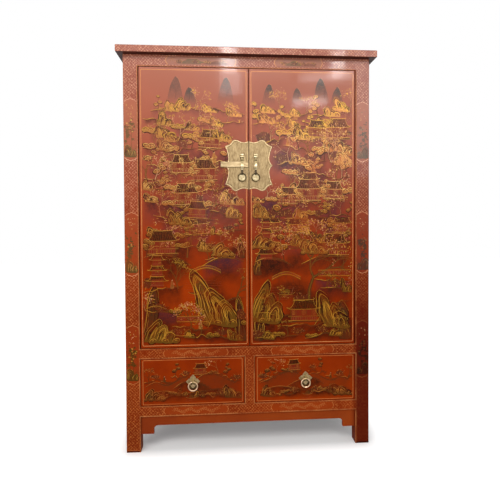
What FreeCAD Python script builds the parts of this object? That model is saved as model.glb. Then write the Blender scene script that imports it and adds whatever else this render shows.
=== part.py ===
import FreeCAD, Part
import math
import os

os.makedirs("parts", exist_ok=True)

# Chinese wedding cabinet. Millimetres, floor at z = 0, front towards -y.
# The middle of the top board is at x = y = 0.

# Outside of the cabinet
cabinet_width = 1170.0
cabinet_depth = 600.0
cabinet_height = 1820.0
top_thickness = 31.0
side_overhang = 26.0
front_overhang = 33.0
back_overhang = 5.0

# Posts and rails of the mortised frame
post_width = 64.0
post_depth = 58.0
back_post_width = 50.0
top_rail_height = 52.0
middle_rail_height = 46.5
drawer_opening_height = 215.5
bottom_rail_height = 48.0
underside_height = 160.0
front_rail_depth = 50.0
rear_rail_thickness = 30.0
divider_width = 46.0
post_edge_radius = 2.5
tenon_length = 24.0
tenon_thickness = 10.0
tenon_shoulder = 10.0
mortise_spare = 2.0

# Raised beading round the openings
bead_width = 5.0
bead_height = 1.6

# Top board, a mitred frame with a panel
top_frame_width = 90.0
top_panel_thickness = 18.0
top_edge_radius = 4.0
top_lower_edge_radius = 2.0

# Panels let into grooves
side_panel_thickness = 10.0
back_panel_thickness = 12.0
panel_inset = 6.0
groove_depth = 8.0
groove_spare = 1.0
tongue_thickness = 8.0
tongue_drop = 5.0

# Aprons under the bottom rails
apron_thickness = 18.0
apron_recess = 7.0
apron_height = 42.5
apron_step_drop = 38.5
apron_step_width = 58.0
apron_corner_radius = 20.0

# Inside of the cabinet
shelf_thickness = 18.0
shelf_front_setback = 9.0
shelf_side_gap = 1.0
cleat_height = 20.0
cleat_width = 28.0
floor_thickness = 12.0
floor_corner_gap = 30.0
bottom_board_thickness = 12.0
bottom_board_drop = 20.0
door_stop_height = 8.0
door_stop_depth = 18.0

# Doors
door_thickness = 22.0
door_recess = 1.0
door_side_gap = 3.2
door_end_gap = 3.0
door_meeting_gap = 3.0
door_edge_radius = 1.5
hinge_edge_radius = 5.0
stile_width = 60.0
stop_gap = 0.3
pivot_radius = 8.0
pivot_clearance = 0.08
lower_pivot_length = 12.0
upper_pivot_length = 20.0
pivot_end_gap = 0.3
pivot_lift = 13.0
batten_height = 46.0
batten_depth = 14.0
batten_root = 6.0
batten_flare = 3.0
batten_end_gap = 32.0

# Lock plate, lugs and bar
plate_centre_height = 1298.0
plate_half_width = 109.0
plate_half_height = 116.0
plate_thickness = 1.8
bar_rise = 4.0
bar_length = 126.0
bar_height = 24.0
bar_thickness = 6.0
bar_play = 0.3
bar_end_radius = 1.0
bar_parking_gap = 0.5
lug_offset = 31.0
lug_top_half_width = 5.0
lug_foot_half_width = 6.5
lug_front_wall = 4.5
lug_cap_height = 9.0
lug_shoulder_reach = 6.0
lug_neck_height = 13.0
arch_bulge_share = 0.12
knob_radius = 5.0
knob_half_width = 8.0
knob_pitch = 9.0
rivet_radius = 3.0
rivet_clearance = 0.2

# Rings and the eyes that they hang in
door_ring_mean_radius = 18.0
door_ring_wire = 4.0
door_eye_drop = 19.0
door_eye_reach = 6.5
door_eye_radius = 6.0
door_eye_width = 8.0
drawer_ring_mean_radius = 20.2
drawer_ring_wire = 5.6
drawer_eye_reach = 7.5
drawer_eye_radius = 6.5
drawer_eye_width = 9.0
eye_play = 0.3
ring_sides = 8
ring_lengths = 32

# Drawers
drawer_gap = 2.0
drawer_back_room = 23.0
drawer_front_thickness = 20.0
drawer_side_thickness = 12.0
drawer_side_height = 190.0
drawer_bottom_thickness = 6.0
drawer_bottom_rise = 8.0
drawer_groove_depth = 6.0
tail_length = 13.0
tail_width = 26.0
tail_flare = 4.0
tail_count = 4
tail_first_rise = 36.0
tail_pitch = 42.0
pull_plate_reach = 32.0
pull_notch_depth = 4.0
pull_notch_half_width = 4.5
slide_gap = 0.3
runner_width = 30.0
guide_rise = 26.0
stop_block_rise = 60.0

# Outline of a quarter of the lock plate, as shares of its half width and half height:
# middle and end of each arc
plate_start_share = (0.0, 0.95)
plate_arc_shares = (
    ((0.23, 0.905), (0.44, 0.965)),
    ((0.56, 1.0), (0.68, 0.965)),
    ((0.815, 0.82), (0.99, 0.755)),
    ((0.90, 0.52), (0.855, 0.27)),
    ((0.90, 0.11), (1.0, 0.0)),
)

# Heights of the two shelves as shares of the door opening, and of the battens as shares of the door
lower_shelf_share = 0.316
upper_shelf_share = 0.655
batten_shares = (0.12, 0.5, 0.88)

# One overrun lets every cut pass its surface, and one tolerance finds an edge by its place
overrun = 5.0
place_tolerance = 0.1

# Places that follow from the sizes
half_width = cabinet_width / 2
half_depth = cabinet_depth / 2
body_half = half_width - side_overhang
body_top = cabinet_height - top_thickness
front = front_overhang - half_depth
back = half_depth - back_overhang
post_back = front + post_depth
back_post_front = back - post_depth
opening_half = body_half - post_width
back_opening_half = body_half - back_post_width
divider_half = divider_width / 2
rail_back = front + front_rail_depth
rear_rail_front = back - rear_rail_thickness
side_rail_inner = body_half - rear_rail_thickness
bottom_rail_top = underside_height + bottom_rail_height
drawer_opening_top = bottom_rail_top + drawer_opening_height
door_opening_bottom = drawer_opening_top + middle_rail_height
door_opening_top = body_top - top_rail_height
side_panel_outer = body_half - panel_inset
side_panel_inner = side_panel_outer - side_panel_thickness
back_panel_rear = back - panel_inset
back_panel_front = back_panel_rear - back_panel_thickness
bottom_board_top = bottom_rail_top - bottom_board_drop
door_front = front + door_recess
door_back = door_front + door_thickness
door_outer = opening_half - door_side_gap
door_inner = door_meeting_gap / 2
door_bottom = door_opening_bottom + door_end_gap
door_top = door_opening_top - door_end_gap
lower_shelf_top = door_opening_bottom + lower_shelf_share * (door_opening_top - door_opening_bottom)
upper_shelf_top = door_opening_bottom + upper_shelf_share * (door_opening_top - door_opening_bottom)
hinge_x = door_outer - door_thickness / 2
hinge_y = door_front + door_thickness / 2
stile_inner = door_outer - stile_width
plate_front = door_front - plate_thickness
bar_back = plate_front - bar_play
bar_centre_height = plate_centre_height + bar_rise
bar_front = bar_back - bar_thickness
slot_front = bar_front - bar_play
slot_top = bar_centre_height + bar_height / 2 + bar_play
slot_bottom = bar_centre_height - bar_height / 2 - bar_play
lug_front = slot_front - lug_front_wall
lug_arch_top = slot_top + lug_cap_height
lug_arch_bottom = slot_bottom - lug_cap_height
door_eye_y = plate_front - door_eye_reach
door_eye_z = lug_arch_bottom - door_eye_drop
drawer_bottom = bottom_rail_top + drawer_gap
drawer_top = drawer_opening_top - drawer_gap
drawer_inner = divider_half + drawer_gap
drawer_outer = opening_half - drawer_gap
drawer_front_back = door_front + drawer_front_thickness
drawer_rear = back_post_front - drawer_back_room
drawer_rear_inner = drawer_rear - drawer_side_thickness
drawer_side_top = drawer_bottom + drawer_side_height
drawer_floor = drawer_bottom + drawer_bottom_rise
drawer_floor_top = drawer_floor + drawer_bottom_thickness
pull_x = (drawer_inner + drawer_outer) / 2
pull_z = (drawer_bottom + drawer_top) / 2
drawer_eye_y = plate_front - drawer_eye_reach
runner_top = drawer_bottom - slide_gap

along_x = FreeCAD.Vector(1, 0, 0)
along_y = FreeCAD.Vector(0, 1, 0)
along_z = FreeCAD.Vector(0, 0, 1)
middle = FreeCAD.Vector(0, 0, 0)


# Shapes that several pieces share
def box(x_low, x_high, y_low, y_high, z_low, z_high):
    corner = FreeCAD.Vector(x_low, y_low, z_low)
    return Part.makeBox(x_high - x_low, y_high - y_low, z_high - z_low, corner)


def prism(points, run):
    wire = Part.makePolygon([FreeCAD.Vector(*point) for point in points + points[:1]])
    return Part.Face(wire).extrude(run)


def mirrored(shape):
    return shape.mirror(middle, along_x)


def both_sides(shape):
    return shape.fuse(mirrored(shape))


def clean(shape):
    return shape.removeSplitter()


def straight_edges(shape, direction, test):
    edges = []
    for edge in shape.Edges:
        start, end = edge.Vertexes[0].Point, edge.Vertexes[-1].Point
        if (end - start).cross(direction).Length < place_tolerance and test((start + end) / 2):
            edges.append(edge)
    return edges


def near(value, target):
    return abs(value - target) < place_tolerance


def bead_face(centre, across):
    edge = across * (bead_width / 2)
    crown = centre - along_y * bead_height
    arc = Part.Arc(centre - edge, crown, centre + edge).toShape()
    floor = Part.makeLine(centre + edge, centre - edge)
    return Part.Face(Part.Wire([arc, floor]))


def upright_bead(x_middle, z_low, z_high):
    return bead_face(FreeCAD.Vector(x_middle, front, z_low), along_x).extrude(along_z * (z_high - z_low))


def level_bead(z_middle, x_low, x_high):
    return bead_face(FreeCAD.Vector(x_low, front, z_middle), along_z).extrude(along_x * (x_high - x_low))


# Tenons, and the mortises that take them: spare deepens the mortise past the tenon's end
def front_tenon(z_low, z_high, spare=0.0):
    y_middle = (front + rail_back) / 2
    return box(opening_half, opening_half + tenon_length + spare,
               y_middle - tenon_thickness / 2, y_middle + tenon_thickness / 2,
               z_low + tenon_shoulder, z_high - tenon_shoulder)


def back_tenon(z_low, z_high, spare=0.0):
    y_middle = (rear_rail_front + back) / 2
    return box(back_opening_half, back_opening_half + tenon_length + spare,
               y_middle - tenon_thickness / 2, y_middle + tenon_thickness / 2,
               z_low + tenon_shoulder, z_high - tenon_shoulder)


def side_tenon(y_shoulder, direction, z_low, z_high, spare=0.0):
    x_middle = (side_rail_inner + body_half) / 2
    y_end = y_shoulder + direction * (tenon_length + spare)
    return box(x_middle - tenon_thickness / 2, x_middle + tenon_thickness / 2,
               min(y_shoulder, y_end), max(y_shoulder, y_end),
               z_low + tenon_shoulder, z_high - tenon_shoulder)


rail_levels = ((door_opening_top, body_top), (underside_height, bottom_rail_top))


def side_groove(spare):
    reach = groove_depth - spare
    return box(side_panel_inner, side_panel_outer, post_back - reach, back_post_front + reach,
               bottom_rail_top - reach, door_opening_top + reach)


def back_groove(spare):
    reach = groove_depth - spare
    return box(-back_opening_half - reach, back_opening_half + reach, back_panel_front, back_panel_rear,
               bottom_rail_top - reach, door_opening_top + reach)


# Posts
def front_post():
    post = box(opening_half, body_half, front, post_back, 0, body_top)
    corners = straight_edges(post, along_z, lambda point: near(point.x, body_half))
    post = post.makeFillet(post_edge_radius, corners)
    bead_middle = opening_half + bead_width / 2
    post = post.fuse(upright_bead(bead_middle, 0, underside_height + bead_width))
    for low, high in ((bottom_rail_top, drawer_opening_top), (door_opening_bottom, door_opening_top)):
        post = post.fuse(upright_bead(bead_middle, low - bead_width, high + bead_width))
    for low, high in rail_levels + ((drawer_opening_top, door_opening_bottom),):
        post = post.cut(front_tenon(low, high, mortise_spare))
    for low, high in rail_levels:
        post = post.cut(side_tenon(post_back, -1, low, high, mortise_spare))
    return clean(post.cut(side_groove(0)))


def back_post():
    post = box(back_opening_half, body_half, back_post_front, back, 0, body_top)
    corners = straight_edges(post, along_z, lambda point: near(point.x, body_half))
    post = post.makeFillet(post_edge_radius, corners)
    for low, high in rail_levels:
        post = post.cut(back_tenon(low, high, mortise_spare))
        post = post.cut(side_tenon(back_post_front, 1, low, high, mortise_spare))
    return clean(post.cut(side_groove(0)).cut(back_groove(0)))


# Rails of the front, with the door's pivot sockets in the upper two
def front_rail(z_low, z_high):
    rail = box(-opening_half, opening_half, front, rail_back, z_low, z_high)
    return rail.fuse(both_sides(front_tenon(z_low, z_high)))


def upper_socket():
    depth = upper_pivot_length - door_end_gap + pivot_lift
    foot = FreeCAD.Vector(hinge_x, hinge_y, door_opening_top)
    return both_sides(Part.makeCylinder(pivot_radius + pivot_clearance, depth, foot))


def lower_socket():
    depth = lower_pivot_length - door_end_gap + pivot_end_gap
    foot = FreeCAD.Vector(hinge_x, hinge_y, door_opening_bottom - depth)
    return both_sides(Part.makeCylinder(pivot_radius + pivot_clearance, depth, foot))


def split_bead(z_middle):
    return both_sides(level_bead(z_middle, divider_half - bead_width, opening_half))


def front_top_rail():
    rail = front_rail(door_opening_top, body_top)
    rail = rail.fuse(level_bead(door_opening_top + bead_width / 2, -opening_half, opening_half))
    return clean(rail.cut(upper_socket()))


def front_middle_rail():
    rail = front_rail(drawer_opening_top, door_opening_bottom)
    rail = rail.fuse(level_bead(door_opening_bottom - bead_width / 2, -opening_half, opening_half))
    rail = rail.fuse(split_bead(drawer_opening_top + bead_width / 2))
    return clean(rail.cut(lower_socket()))


def front_bottom_rail():
    rail = front_rail(underside_height, bottom_rail_top)
    rail = rail.fuse(split_bead(bottom_rail_top - bead_width / 2))
    rail = rail.fuse(level_bead(underside_height + bead_width / 2, -opening_half, opening_half))
    return clean(rail.cut(bottom_board_room(0)))


def drawer_divider():
    divider = box(-divider_half, divider_half, front, rail_back, bottom_rail_top, drawer_opening_top)
    bead = upright_bead(divider_half - bead_width / 2, bottom_rail_top, drawer_opening_top)
    return clean(divider.fuse(both_sides(bead)))


# Rails of the sides and the back
def side_rail(z_low, z_high):
    rail = box(side_rail_inner, body_half, post_back, back_post_front, z_low, z_high)
    rail = rail.fuse(side_tenon(post_back, -1, z_low, z_high))
    rail = rail.fuse(side_tenon(back_post_front, 1, z_low, z_high))
    return clean(rail.cut(side_groove(0)).cut(bottom_board_room(0)))


def back_rail(z_low, z_high):
    rail = box(-back_opening_half, back_opening_half, rear_rail_front, back, z_low, z_high)
    rail = rail.fuse(both_sides(back_tenon(z_low, z_high)))
    return clean(rail.cut(back_groove(0)).cut(bottom_board_room(0)))


# Aprons, each a board with a step at either end that rounds into the lower edge
def apron_outline(half, place):
    foot = underside_height - apron_height
    step_foot = foot - apron_step_drop
    step = half - apron_step_width
    centre = step - apron_corner_radius
    bend = apron_corner_radius * math.sqrt(0.5)
    arc_middle = (centre + bend, foot - apron_corner_radius + bend)
    edges = [((half, underside_height), (half, step_foot)), ((half, step_foot), (step, step_foot)),
             ((step, step_foot), (step, foot - apron_corner_radius))]
    right = [Part.makeLine(place(*start), place(*end)) for start, end in edges]
    right.append(Part.Arc(place(step, foot - apron_corner_radius), place(*arc_middle),
                          place(centre, foot)).toShape())
    left = [Part.makeLine(place(-start[0], start[1]), place(-end[0], end[1])) for start, end in edges]
    left.append(Part.Arc(place(-step, foot - apron_corner_radius), place(-arc_middle[0], arc_middle[1]),
                         place(-centre, foot)).toShape())
    joins = [Part.makeLine(place(-half, underside_height), place(half, underside_height)),
             Part.makeLine(place(-centre, foot), place(centre, foot))]
    return Part.Face(Part.Wire(Part.__sortEdges__(right + left + joins)))


def front_apron():
    face_y = front + apron_recess
    face = apron_outline(opening_half, lambda across, height: FreeCAD.Vector(across, face_y, height))
    return face.extrude(along_y * apron_thickness)


def side_apron():
    half = (back_post_front - post_back) / 2
    y_middle = (back_post_front + post_back) / 2
    face_x = body_half - apron_recess
    face = apron_outline(half, lambda across, height: FreeCAD.Vector(face_x, y_middle + across, height))
    return face.extrude(along_x * -apron_thickness)


# Top board: four mitred members round a panel
def top_groove(spare):
    reach = top_frame_width - groove_depth + spare
    tongue_top = cabinet_height - tongue_drop
    return box(reach - half_width, half_width - reach, reach - half_depth, half_depth - reach,
               tongue_top - tongue_thickness, tongue_top)


def top_ring():
    board = box(-half_width, half_width, -half_depth, half_depth, body_top, cabinet_height)
    upper = [edge for edge in board.Edges if near(edge.CenterOfMass.z, cabinet_height)]
    board = board.makeFillet(top_edge_radius, upper)
    lower = [edge for edge in board.Edges if near(edge.CenterOfMass.z, body_top)]
    board = board.makeFillet(top_lower_edge_radius, lower)
    hole = box(top_frame_width - half_width, half_width - top_frame_width,
               top_frame_width - half_depth, half_depth - top_frame_width,
               body_top - overrun, cabinet_height + overrun)
    return board.cut(hole).cut(top_groove(0))


def top_front_member():
    low, high = -half_depth - overrun, top_frame_width - half_depth
    outer, inner = half_width + overrun, half_width - top_frame_width
    wedge = prism([(-outer, low, body_top - overrun), (outer, low, body_top - overrun),
                   (inner, high, body_top - overrun), (-inner, high, body_top - overrun)],
                  along_z * (top_thickness + overrun * 2))
    return clean(top_ring().common(wedge))


def top_back_member():
    return top_front_member().mirror(middle, along_y)


def top_side_member():
    rest = top_ring().cut(box(-half_width, 0, -half_depth, half_depth, body_top, cabinet_height))
    rest = rest.cut(top_front_member()).cut(top_back_member())
    return clean(rest)


def top_panel():
    panel = box(top_frame_width - half_width, half_width - top_frame_width,
                top_frame_width - half_depth, half_depth - top_frame_width,
                cabinet_height - top_panel_thickness, cabinet_height)
    return clean(panel.fuse(top_groove(groove_spare)))


# Boards inside the cabinet
def bottom_board_room(spare):
    reach = groove_depth - spare
    low = bottom_board_top - bottom_board_thickness
    between_rails = box(-opening_half + spare, opening_half - spare, rail_back - reach,
                        rear_rail_front + reach, low, bottom_board_top)
    between_posts = box(-side_rail_inner - reach, side_rail_inner + reach, post_back + spare,
                        back_post_front - spare, low, bottom_board_top)
    return between_rails.fuse(between_posts)


def bottom_board():
    return clean(bottom_board_room(groove_spare))


def board_to_back(front_half, y_front, wide_front, z_low, thickness):
    half = side_panel_inner - shelf_side_gap
    wide = box(-half, half, wide_front, back_post_front - shelf_side_gap, z_low, z_low + thickness)
    narrow = box(-front_half, front_half, y_front, back_panel_front - shelf_side_gap, z_low,
                 z_low + thickness)
    return clean(wide.fuse(narrow))


def shelf(top):
    y_front = post_back + shelf_front_setback
    narrow_half = back_opening_half - shelf_side_gap
    return board_to_back(narrow_half, y_front, y_front, top - shelf_thickness, shelf_thickness)


def compartment_floor():
    return board_to_back(opening_half - floor_corner_gap, door_back + stop_gap, post_back + shelf_side_gap,
                         door_opening_bottom, floor_thickness)


def cleats():
    strips = []
    for top in (door_opening_bottom, lower_shelf_top - shelf_thickness, upper_shelf_top - shelf_thickness):
        strip = box(side_panel_inner - cleat_width, side_panel_inner, post_back, back_post_front,
                    top - cleat_height, top)
        strips += [strip, mirrored(strip)]
    return Part.Compound(strips)


def door_stop():
    half = opening_half - floor_corner_gap
    y_front = door_back + stop_gap
    return box(-half, half, y_front, y_front + door_stop_depth, door_opening_top - door_stop_height,
               door_opening_top)


def side_runner():
    low = drawer_outer - runner_width
    bed = box(low, side_rail_inner, post_back, back_post_front, bottom_board_top, runner_top)
    guide = box(opening_half, side_rail_inner, post_back, back_post_front, runner_top,
                runner_top + guide_rise)
    block = box(low, opening_half, drawer_rear + stop_gap, back_post_front, runner_top,
                runner_top + stop_block_rise)
    return clean(bed.fuse(guide).fuse(block))


def centre_runner():
    half = drawer_inner + runner_width
    bed = box(-half, half, rail_back, back_post_front, bottom_board_top, runner_top)
    guide = box(-divider_half, divider_half, rail_back, back_post_front, runner_top, runner_top + guide_rise)
    block = box(-half, half, drawer_rear + stop_gap, back_post_front, runner_top,
                runner_top + stop_block_rise)
    return clean(bed.fuse(guide).fuse(block))


# Doors: the right one is drawn, and the left one is its mirror image
def tongue(spare):
    reach = groove_depth - spare
    y_middle = (door_front + door_back) / 2
    return box(stile_inner, stile_inner + reach, y_middle - tongue_thickness / 2,
               y_middle + tongue_thickness / 2, door_bottom, door_top)


def door_stile():
    stile = box(stile_inner, door_outer, door_front, door_back, door_bottom, door_top)
    hinge_edges = straight_edges(stile, along_z, lambda point: near(point.x, door_outer))
    stile = stile.makeFillet(hinge_edge_radius, hinge_edges)
    foot = FreeCAD.Vector(hinge_x, hinge_y, door_bottom - lower_pivot_length)
    stile = stile.fuse(Part.makeCylinder(pivot_radius, lower_pivot_length, foot))
    head = FreeCAD.Vector(hinge_x, hinge_y, door_top)
    stile = stile.fuse(Part.makeCylinder(pivot_radius, upper_pivot_length, head))
    return clean(stile.cut(tongue(0)))


def batten(height_share):
    root = batten_height / 2
    neck = root - batten_flare
    level = door_bottom + height_share * (door_top - door_bottom)
    start = door_inner + batten_end_gap
    profile = [(start, door_back - batten_root, level - root), (start, door_back, level - neck),
               (start, door_back + batten_depth, level - neck),
               (start, door_back + batten_depth, level + neck),
               (start, door_back, level + neck), (start, door_back - batten_root, level + root)]
    return prism(profile, along_x * (stile_inner - start))


def door_battens():
    return Part.Compound([batten(height_share) for height_share in batten_shares])


def rivet(x_middle, z_middle, radius):
    start = FreeCAD.Vector(x_middle, plate_front, z_middle)
    return Part.makeCylinder(radius, plate_thickness + door_thickness, start, along_y)


def lug_rivet(radius):
    return rivet(lug_offset, lug_arch_top + lug_neck_height / 2, radius)


def door_panel():
    panel = box(door_inner, stile_inner, door_front, door_back, door_bottom, door_top)
    meeting_edge = straight_edges(panel, along_z, lambda point: near(point.x, door_inner))
    panel = panel.makeFillet(door_edge_radius, meeting_edge)
    panel = panel.fuse(tongue(groove_spare)).cut(lug_rivet(rivet_radius + rivet_clearance))
    return clean(panel.cut(door_battens()))


def plate_quarter(direction):
    def place(share):
        height = plate_centre_height + direction * share[1] * plate_half_height
        return FreeCAD.Vector(share[0] * plate_half_width, plate_front, height)
    edges = []
    start = plate_start_share
    for arc_middle, end in plate_arc_shares:
        edges.append(Part.Arc(place(start), place(arc_middle), place(end)).toShape())
        start = end
    centre = FreeCAD.Vector(0, plate_front, plate_centre_height)
    edges.append(Part.makeLine(place(start), centre))
    edges.append(Part.makeLine(centre, place(plate_start_share)))
    return Part.Face(Part.Wire(edges)).extrude(along_y * plate_thickness)


def lock_plate():
    plate = plate_quarter(1).fuse(plate_quarter(-1))
    other_door = box(-overrun, door_inner, plate_front - overrun, door_front + overrun,
                     plate_centre_height - plate_half_height - overrun,
                     plate_centre_height + plate_half_height + overrun)
    return clean(plate.cut(other_door).cut(lug_rivet(rivet_radius + rivet_clearance)))


# Lug: an arch over the bar, a knob above it and an eye for the ring below
def eye_hole_radius(wire, mean_radius, width):
    return wire / 2 + eye_play + (width / 2) ** 2 / (mean_radius * 2)


def eye(x_middle, eye_y, eye_z, radius, width):
    start = FreeCAD.Vector(x_middle - width / 2, eye_y, eye_z)
    return Part.makeCylinder(radius, width, start, along_x)


def arch_curve(start, end):
    outward = (end - start).cross(along_x)
    crown = (start + end) / 2 + outward * arch_bulge_share
    return Part.Arc(start, crown, end).toShape()


def lug_arch():
    start = lug_offset - knob_half_width
    shoulder = plate_front - lug_shoulder_reach
    back_top = FreeCAD.Vector(start, plate_front, lug_arch_top)
    top = FreeCAD.Vector(start, shoulder, lug_arch_top)
    front_top = FreeCAD.Vector(start, lug_front, slot_top - lug_cap_height)
    front_bottom = FreeCAD.Vector(start, lug_front, slot_bottom + lug_cap_height)
    bottom = FreeCAD.Vector(start, shoulder, lug_arch_bottom)
    back_bottom = FreeCAD.Vector(start, plate_front, lug_arch_bottom)
    edges = [Part.makeLine(back_top, top), arch_curve(top, front_top),
             Part.makeLine(front_top, front_bottom), arch_curve(front_bottom, bottom),
             Part.makeLine(bottom, back_bottom), Part.makeLine(back_bottom, back_top)]
    side_view = Part.Face(Part.Wire(edges)).extrude(along_x * (knob_half_width * 2))
    low, high = lug_arch_bottom - overrun, lug_arch_top + overrun
    front_view = prism([(lug_offset - lug_foot_half_width, lug_front - overrun, low),
                        (lug_offset + lug_foot_half_width, lug_front - overrun, low),
                        (lug_offset + lug_top_half_width, lug_front - overrun, high),
                        (lug_offset - lug_top_half_width, lug_front - overrun, high)],
                       along_y * (plate_front - lug_front + overrun * 2))
    slot = box(start - overrun, lug_offset + knob_half_width + overrun, slot_front, plate_front + overrun,
               slot_bottom, slot_top)
    return side_view.common(front_view).cut(slot)


def door_lug():
    knob_low = lug_arch_top + lug_neck_height
    neck = box(lug_offset - lug_top_half_width, lug_offset + lug_top_half_width,
               plate_front - lug_shoulder_reach, plate_front, lug_arch_top, knob_low + knob_pitch)
    lug = lug_arch().fuse(neck)
    for level in (knob_low, knob_low + knob_pitch):
        start = FreeCAD.Vector(lug_offset - knob_half_width, plate_front - knob_radius, level)
        lug = lug.fuse(Part.makeCylinder(knob_radius, knob_half_width * 2, start, along_x))
    half = door_eye_width / 2
    web = box(lug_offset - half, lug_offset + half, door_eye_y, plate_front, door_eye_z,
              lug_arch_bottom)
    barrel = eye(lug_offset, door_eye_y, door_eye_z, door_eye_radius, door_eye_width)
    hole_radius = eye_hole_radius(door_ring_wire, door_ring_mean_radius, door_eye_width)
    hole = eye(lug_offset, door_eye_y, door_eye_z, hole_radius, door_eye_width + overrun * 2)
    return clean(lug.fuse(web).fuse(barrel).cut(hole).fuse(lug_rivet(rivet_radius)))


def lock_bar():
    right_end = -door_inner - bar_parking_gap
    bar = box(right_end - bar_length, right_end, bar_front, bar_back,
              bar_centre_height - bar_height / 2, bar_centre_height + bar_height / 2)
    front_edges = [edge for edge in bar.Edges if near(edge.CenterOfMass.y, bar_front)]
    return bar.makeFillet(bar_end_radius, front_edges)


def ring(x_middle, eye_y, eye_z, mean_radius, wire):
    centre = FreeCAD.Vector(x_middle, eye_y, eye_z - mean_radius)
    sections = []
    for index in range(ring_lengths + 1):
        turn = math.tau * index / ring_lengths
        outward = along_x * math.cos(turn) + along_z * math.sin(turn)
        corners = []
        for corner in range(ring_sides + 1):
            angle = math.tau * corner / ring_sides
            reach = mean_radius + wire / 2 * math.cos(angle)
            corners.append(centre + outward * reach + along_y * (wire / 2 * math.sin(angle)))
        sections.append(corners)
    faces = []
    for near_end, far_end in zip(sections, sections[1:]):
        for corner in range(ring_sides):
            edge = [near_end[corner], near_end[corner + 1], far_end[corner + 1], far_end[corner]]
            faces.append(Part.Face(Part.makePolygon(edge + edge[:1])))
    return Part.Solid(Part.Shell(faces))


def door_ring():
    return ring(lug_offset, door_eye_y, door_eye_z, door_ring_mean_radius, door_ring_wire)


# Drawers: the right one is drawn, and the left one is its mirror image
def drawer_tails(x_low, y_root, y_tip):
    root = tail_width / 2 - tail_flare
    tip = tail_width / 2
    tails = []
    for index in range(tail_count):
        level = drawer_bottom + tail_first_rise + index * tail_pitch
        profile = [(x_low, y_root, level - root), (x_low, y_tip, level - tip),
                   (x_low, y_tip, level + tip), (x_low, y_root, level + root)]
        tails.append(prism(profile, along_x * drawer_side_thickness))
    return tails


def all_tails():
    tails = []
    for x_low in (drawer_inner, drawer_outer - drawer_side_thickness):
        tails += drawer_tails(x_low, drawer_front_back, drawer_front_back - tail_length)
        tails += drawer_tails(x_low, drawer_rear_inner, drawer_rear)
    return Part.Compound(tails)


def drawer_bottom_room(spare):
    reach = drawer_groove_depth - spare
    return box(drawer_inner + drawer_side_thickness - reach, drawer_outer - drawer_side_thickness + reach,
               drawer_front_back - reach, drawer_rear, drawer_floor, drawer_floor_top)


def drawer_front():
    board = box(drawer_inner, drawer_outer, door_front, drawer_front_back, drawer_bottom, drawer_top)
    face_edges = [edge for edge in board.Edges if near(edge.CenterOfMass.y, door_front)]
    board = board.makeFillet(door_edge_radius, face_edges)
    board = board.cut(all_tails()).cut(drawer_bottom_room(0))
    return clean(board.cut(rivet(pull_x, pull_z, rivet_radius + rivet_clearance)))


def drawer_side(x_low):
    side = box(x_low, x_low + drawer_side_thickness, drawer_front_back, drawer_rear_inner,
               drawer_bottom, drawer_side_top)
    for tail in drawer_tails(x_low, drawer_front_back, drawer_front_back - tail_length):
        side = side.fuse(tail)
    for tail in drawer_tails(x_low, drawer_rear_inner, drawer_rear):
        side = side.fuse(tail)
    return clean(side.cut(drawer_bottom_room(0)))


def drawer_rear_board():
    board = box(drawer_inner, drawer_outer, drawer_rear_inner, drawer_rear, drawer_floor_top, drawer_side_top)
    return clean(board.cut(all_tails()))


def pull_plate():
    notch = pull_notch_half_width / math.sqrt(2)
    depth = pull_notch_depth / math.sqrt(2)
    side = pull_plate_reach / 2
    quarter = [(pull_plate_reach, 0), (side + notch, side - notch), (side - depth, side - depth),
               (side - notch, side + notch)]
    outline = []
    for _ in range(4):
        outline += [(pull_x + across, plate_front, pull_z + height) for across, height in quarter]
        quarter = [(-height, across) for across, height in quarter]
    plate = prism(outline, along_y * plate_thickness)
    half = drawer_eye_width / 2
    web = box(pull_x - half, pull_x + half, drawer_eye_y, plate_front, pull_z - half,
              pull_z + drawer_eye_radius)
    barrel = eye(pull_x, drawer_eye_y, pull_z, drawer_eye_radius, drawer_eye_width)
    hole_radius = eye_hole_radius(drawer_ring_wire, drawer_ring_mean_radius, drawer_eye_width)
    hole = eye(pull_x, drawer_eye_y, pull_z, hole_radius, drawer_eye_width + overrun * 2)
    return clean(plate.fuse(web).fuse(barrel).cut(hole).fuse(rivet(pull_x, pull_z, rivet_radius)))


def drawer_ring():
    return ring(pull_x, drawer_eye_y, pull_z, drawer_ring_mean_radius, drawer_ring_wire)


# Every piece by name
pieces = {
    "top_frame_front": top_front_member(),
    "top_frame_back": top_back_member(),
    "top_panel": top_panel(),
    "front_top_rail": front_top_rail(),
    "front_middle_rail": front_middle_rail(),
    "front_bottom_rail": front_bottom_rail(),
    "drawer_divider": drawer_divider(),
    "front_apron": front_apron(),
    "back_top_rail": back_rail(door_opening_top, body_top),
    "back_bottom_rail": back_rail(underside_height, bottom_rail_top),
    "back_panel": back_groove(groove_spare),
    "upper_shelf": shelf(upper_shelf_top),
    "lower_shelf": shelf(lower_shelf_top),
    "shelf_cleats": cleats(),
    "compartment_floor": compartment_floor(),
    "bottom_board": bottom_board(),
    "door_stop": door_stop(),
    "drawer_runners": Part.Compound([side_runner(), centre_runner(), mirrored(side_runner())]),
    "lock_bar": lock_bar(),
}

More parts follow.
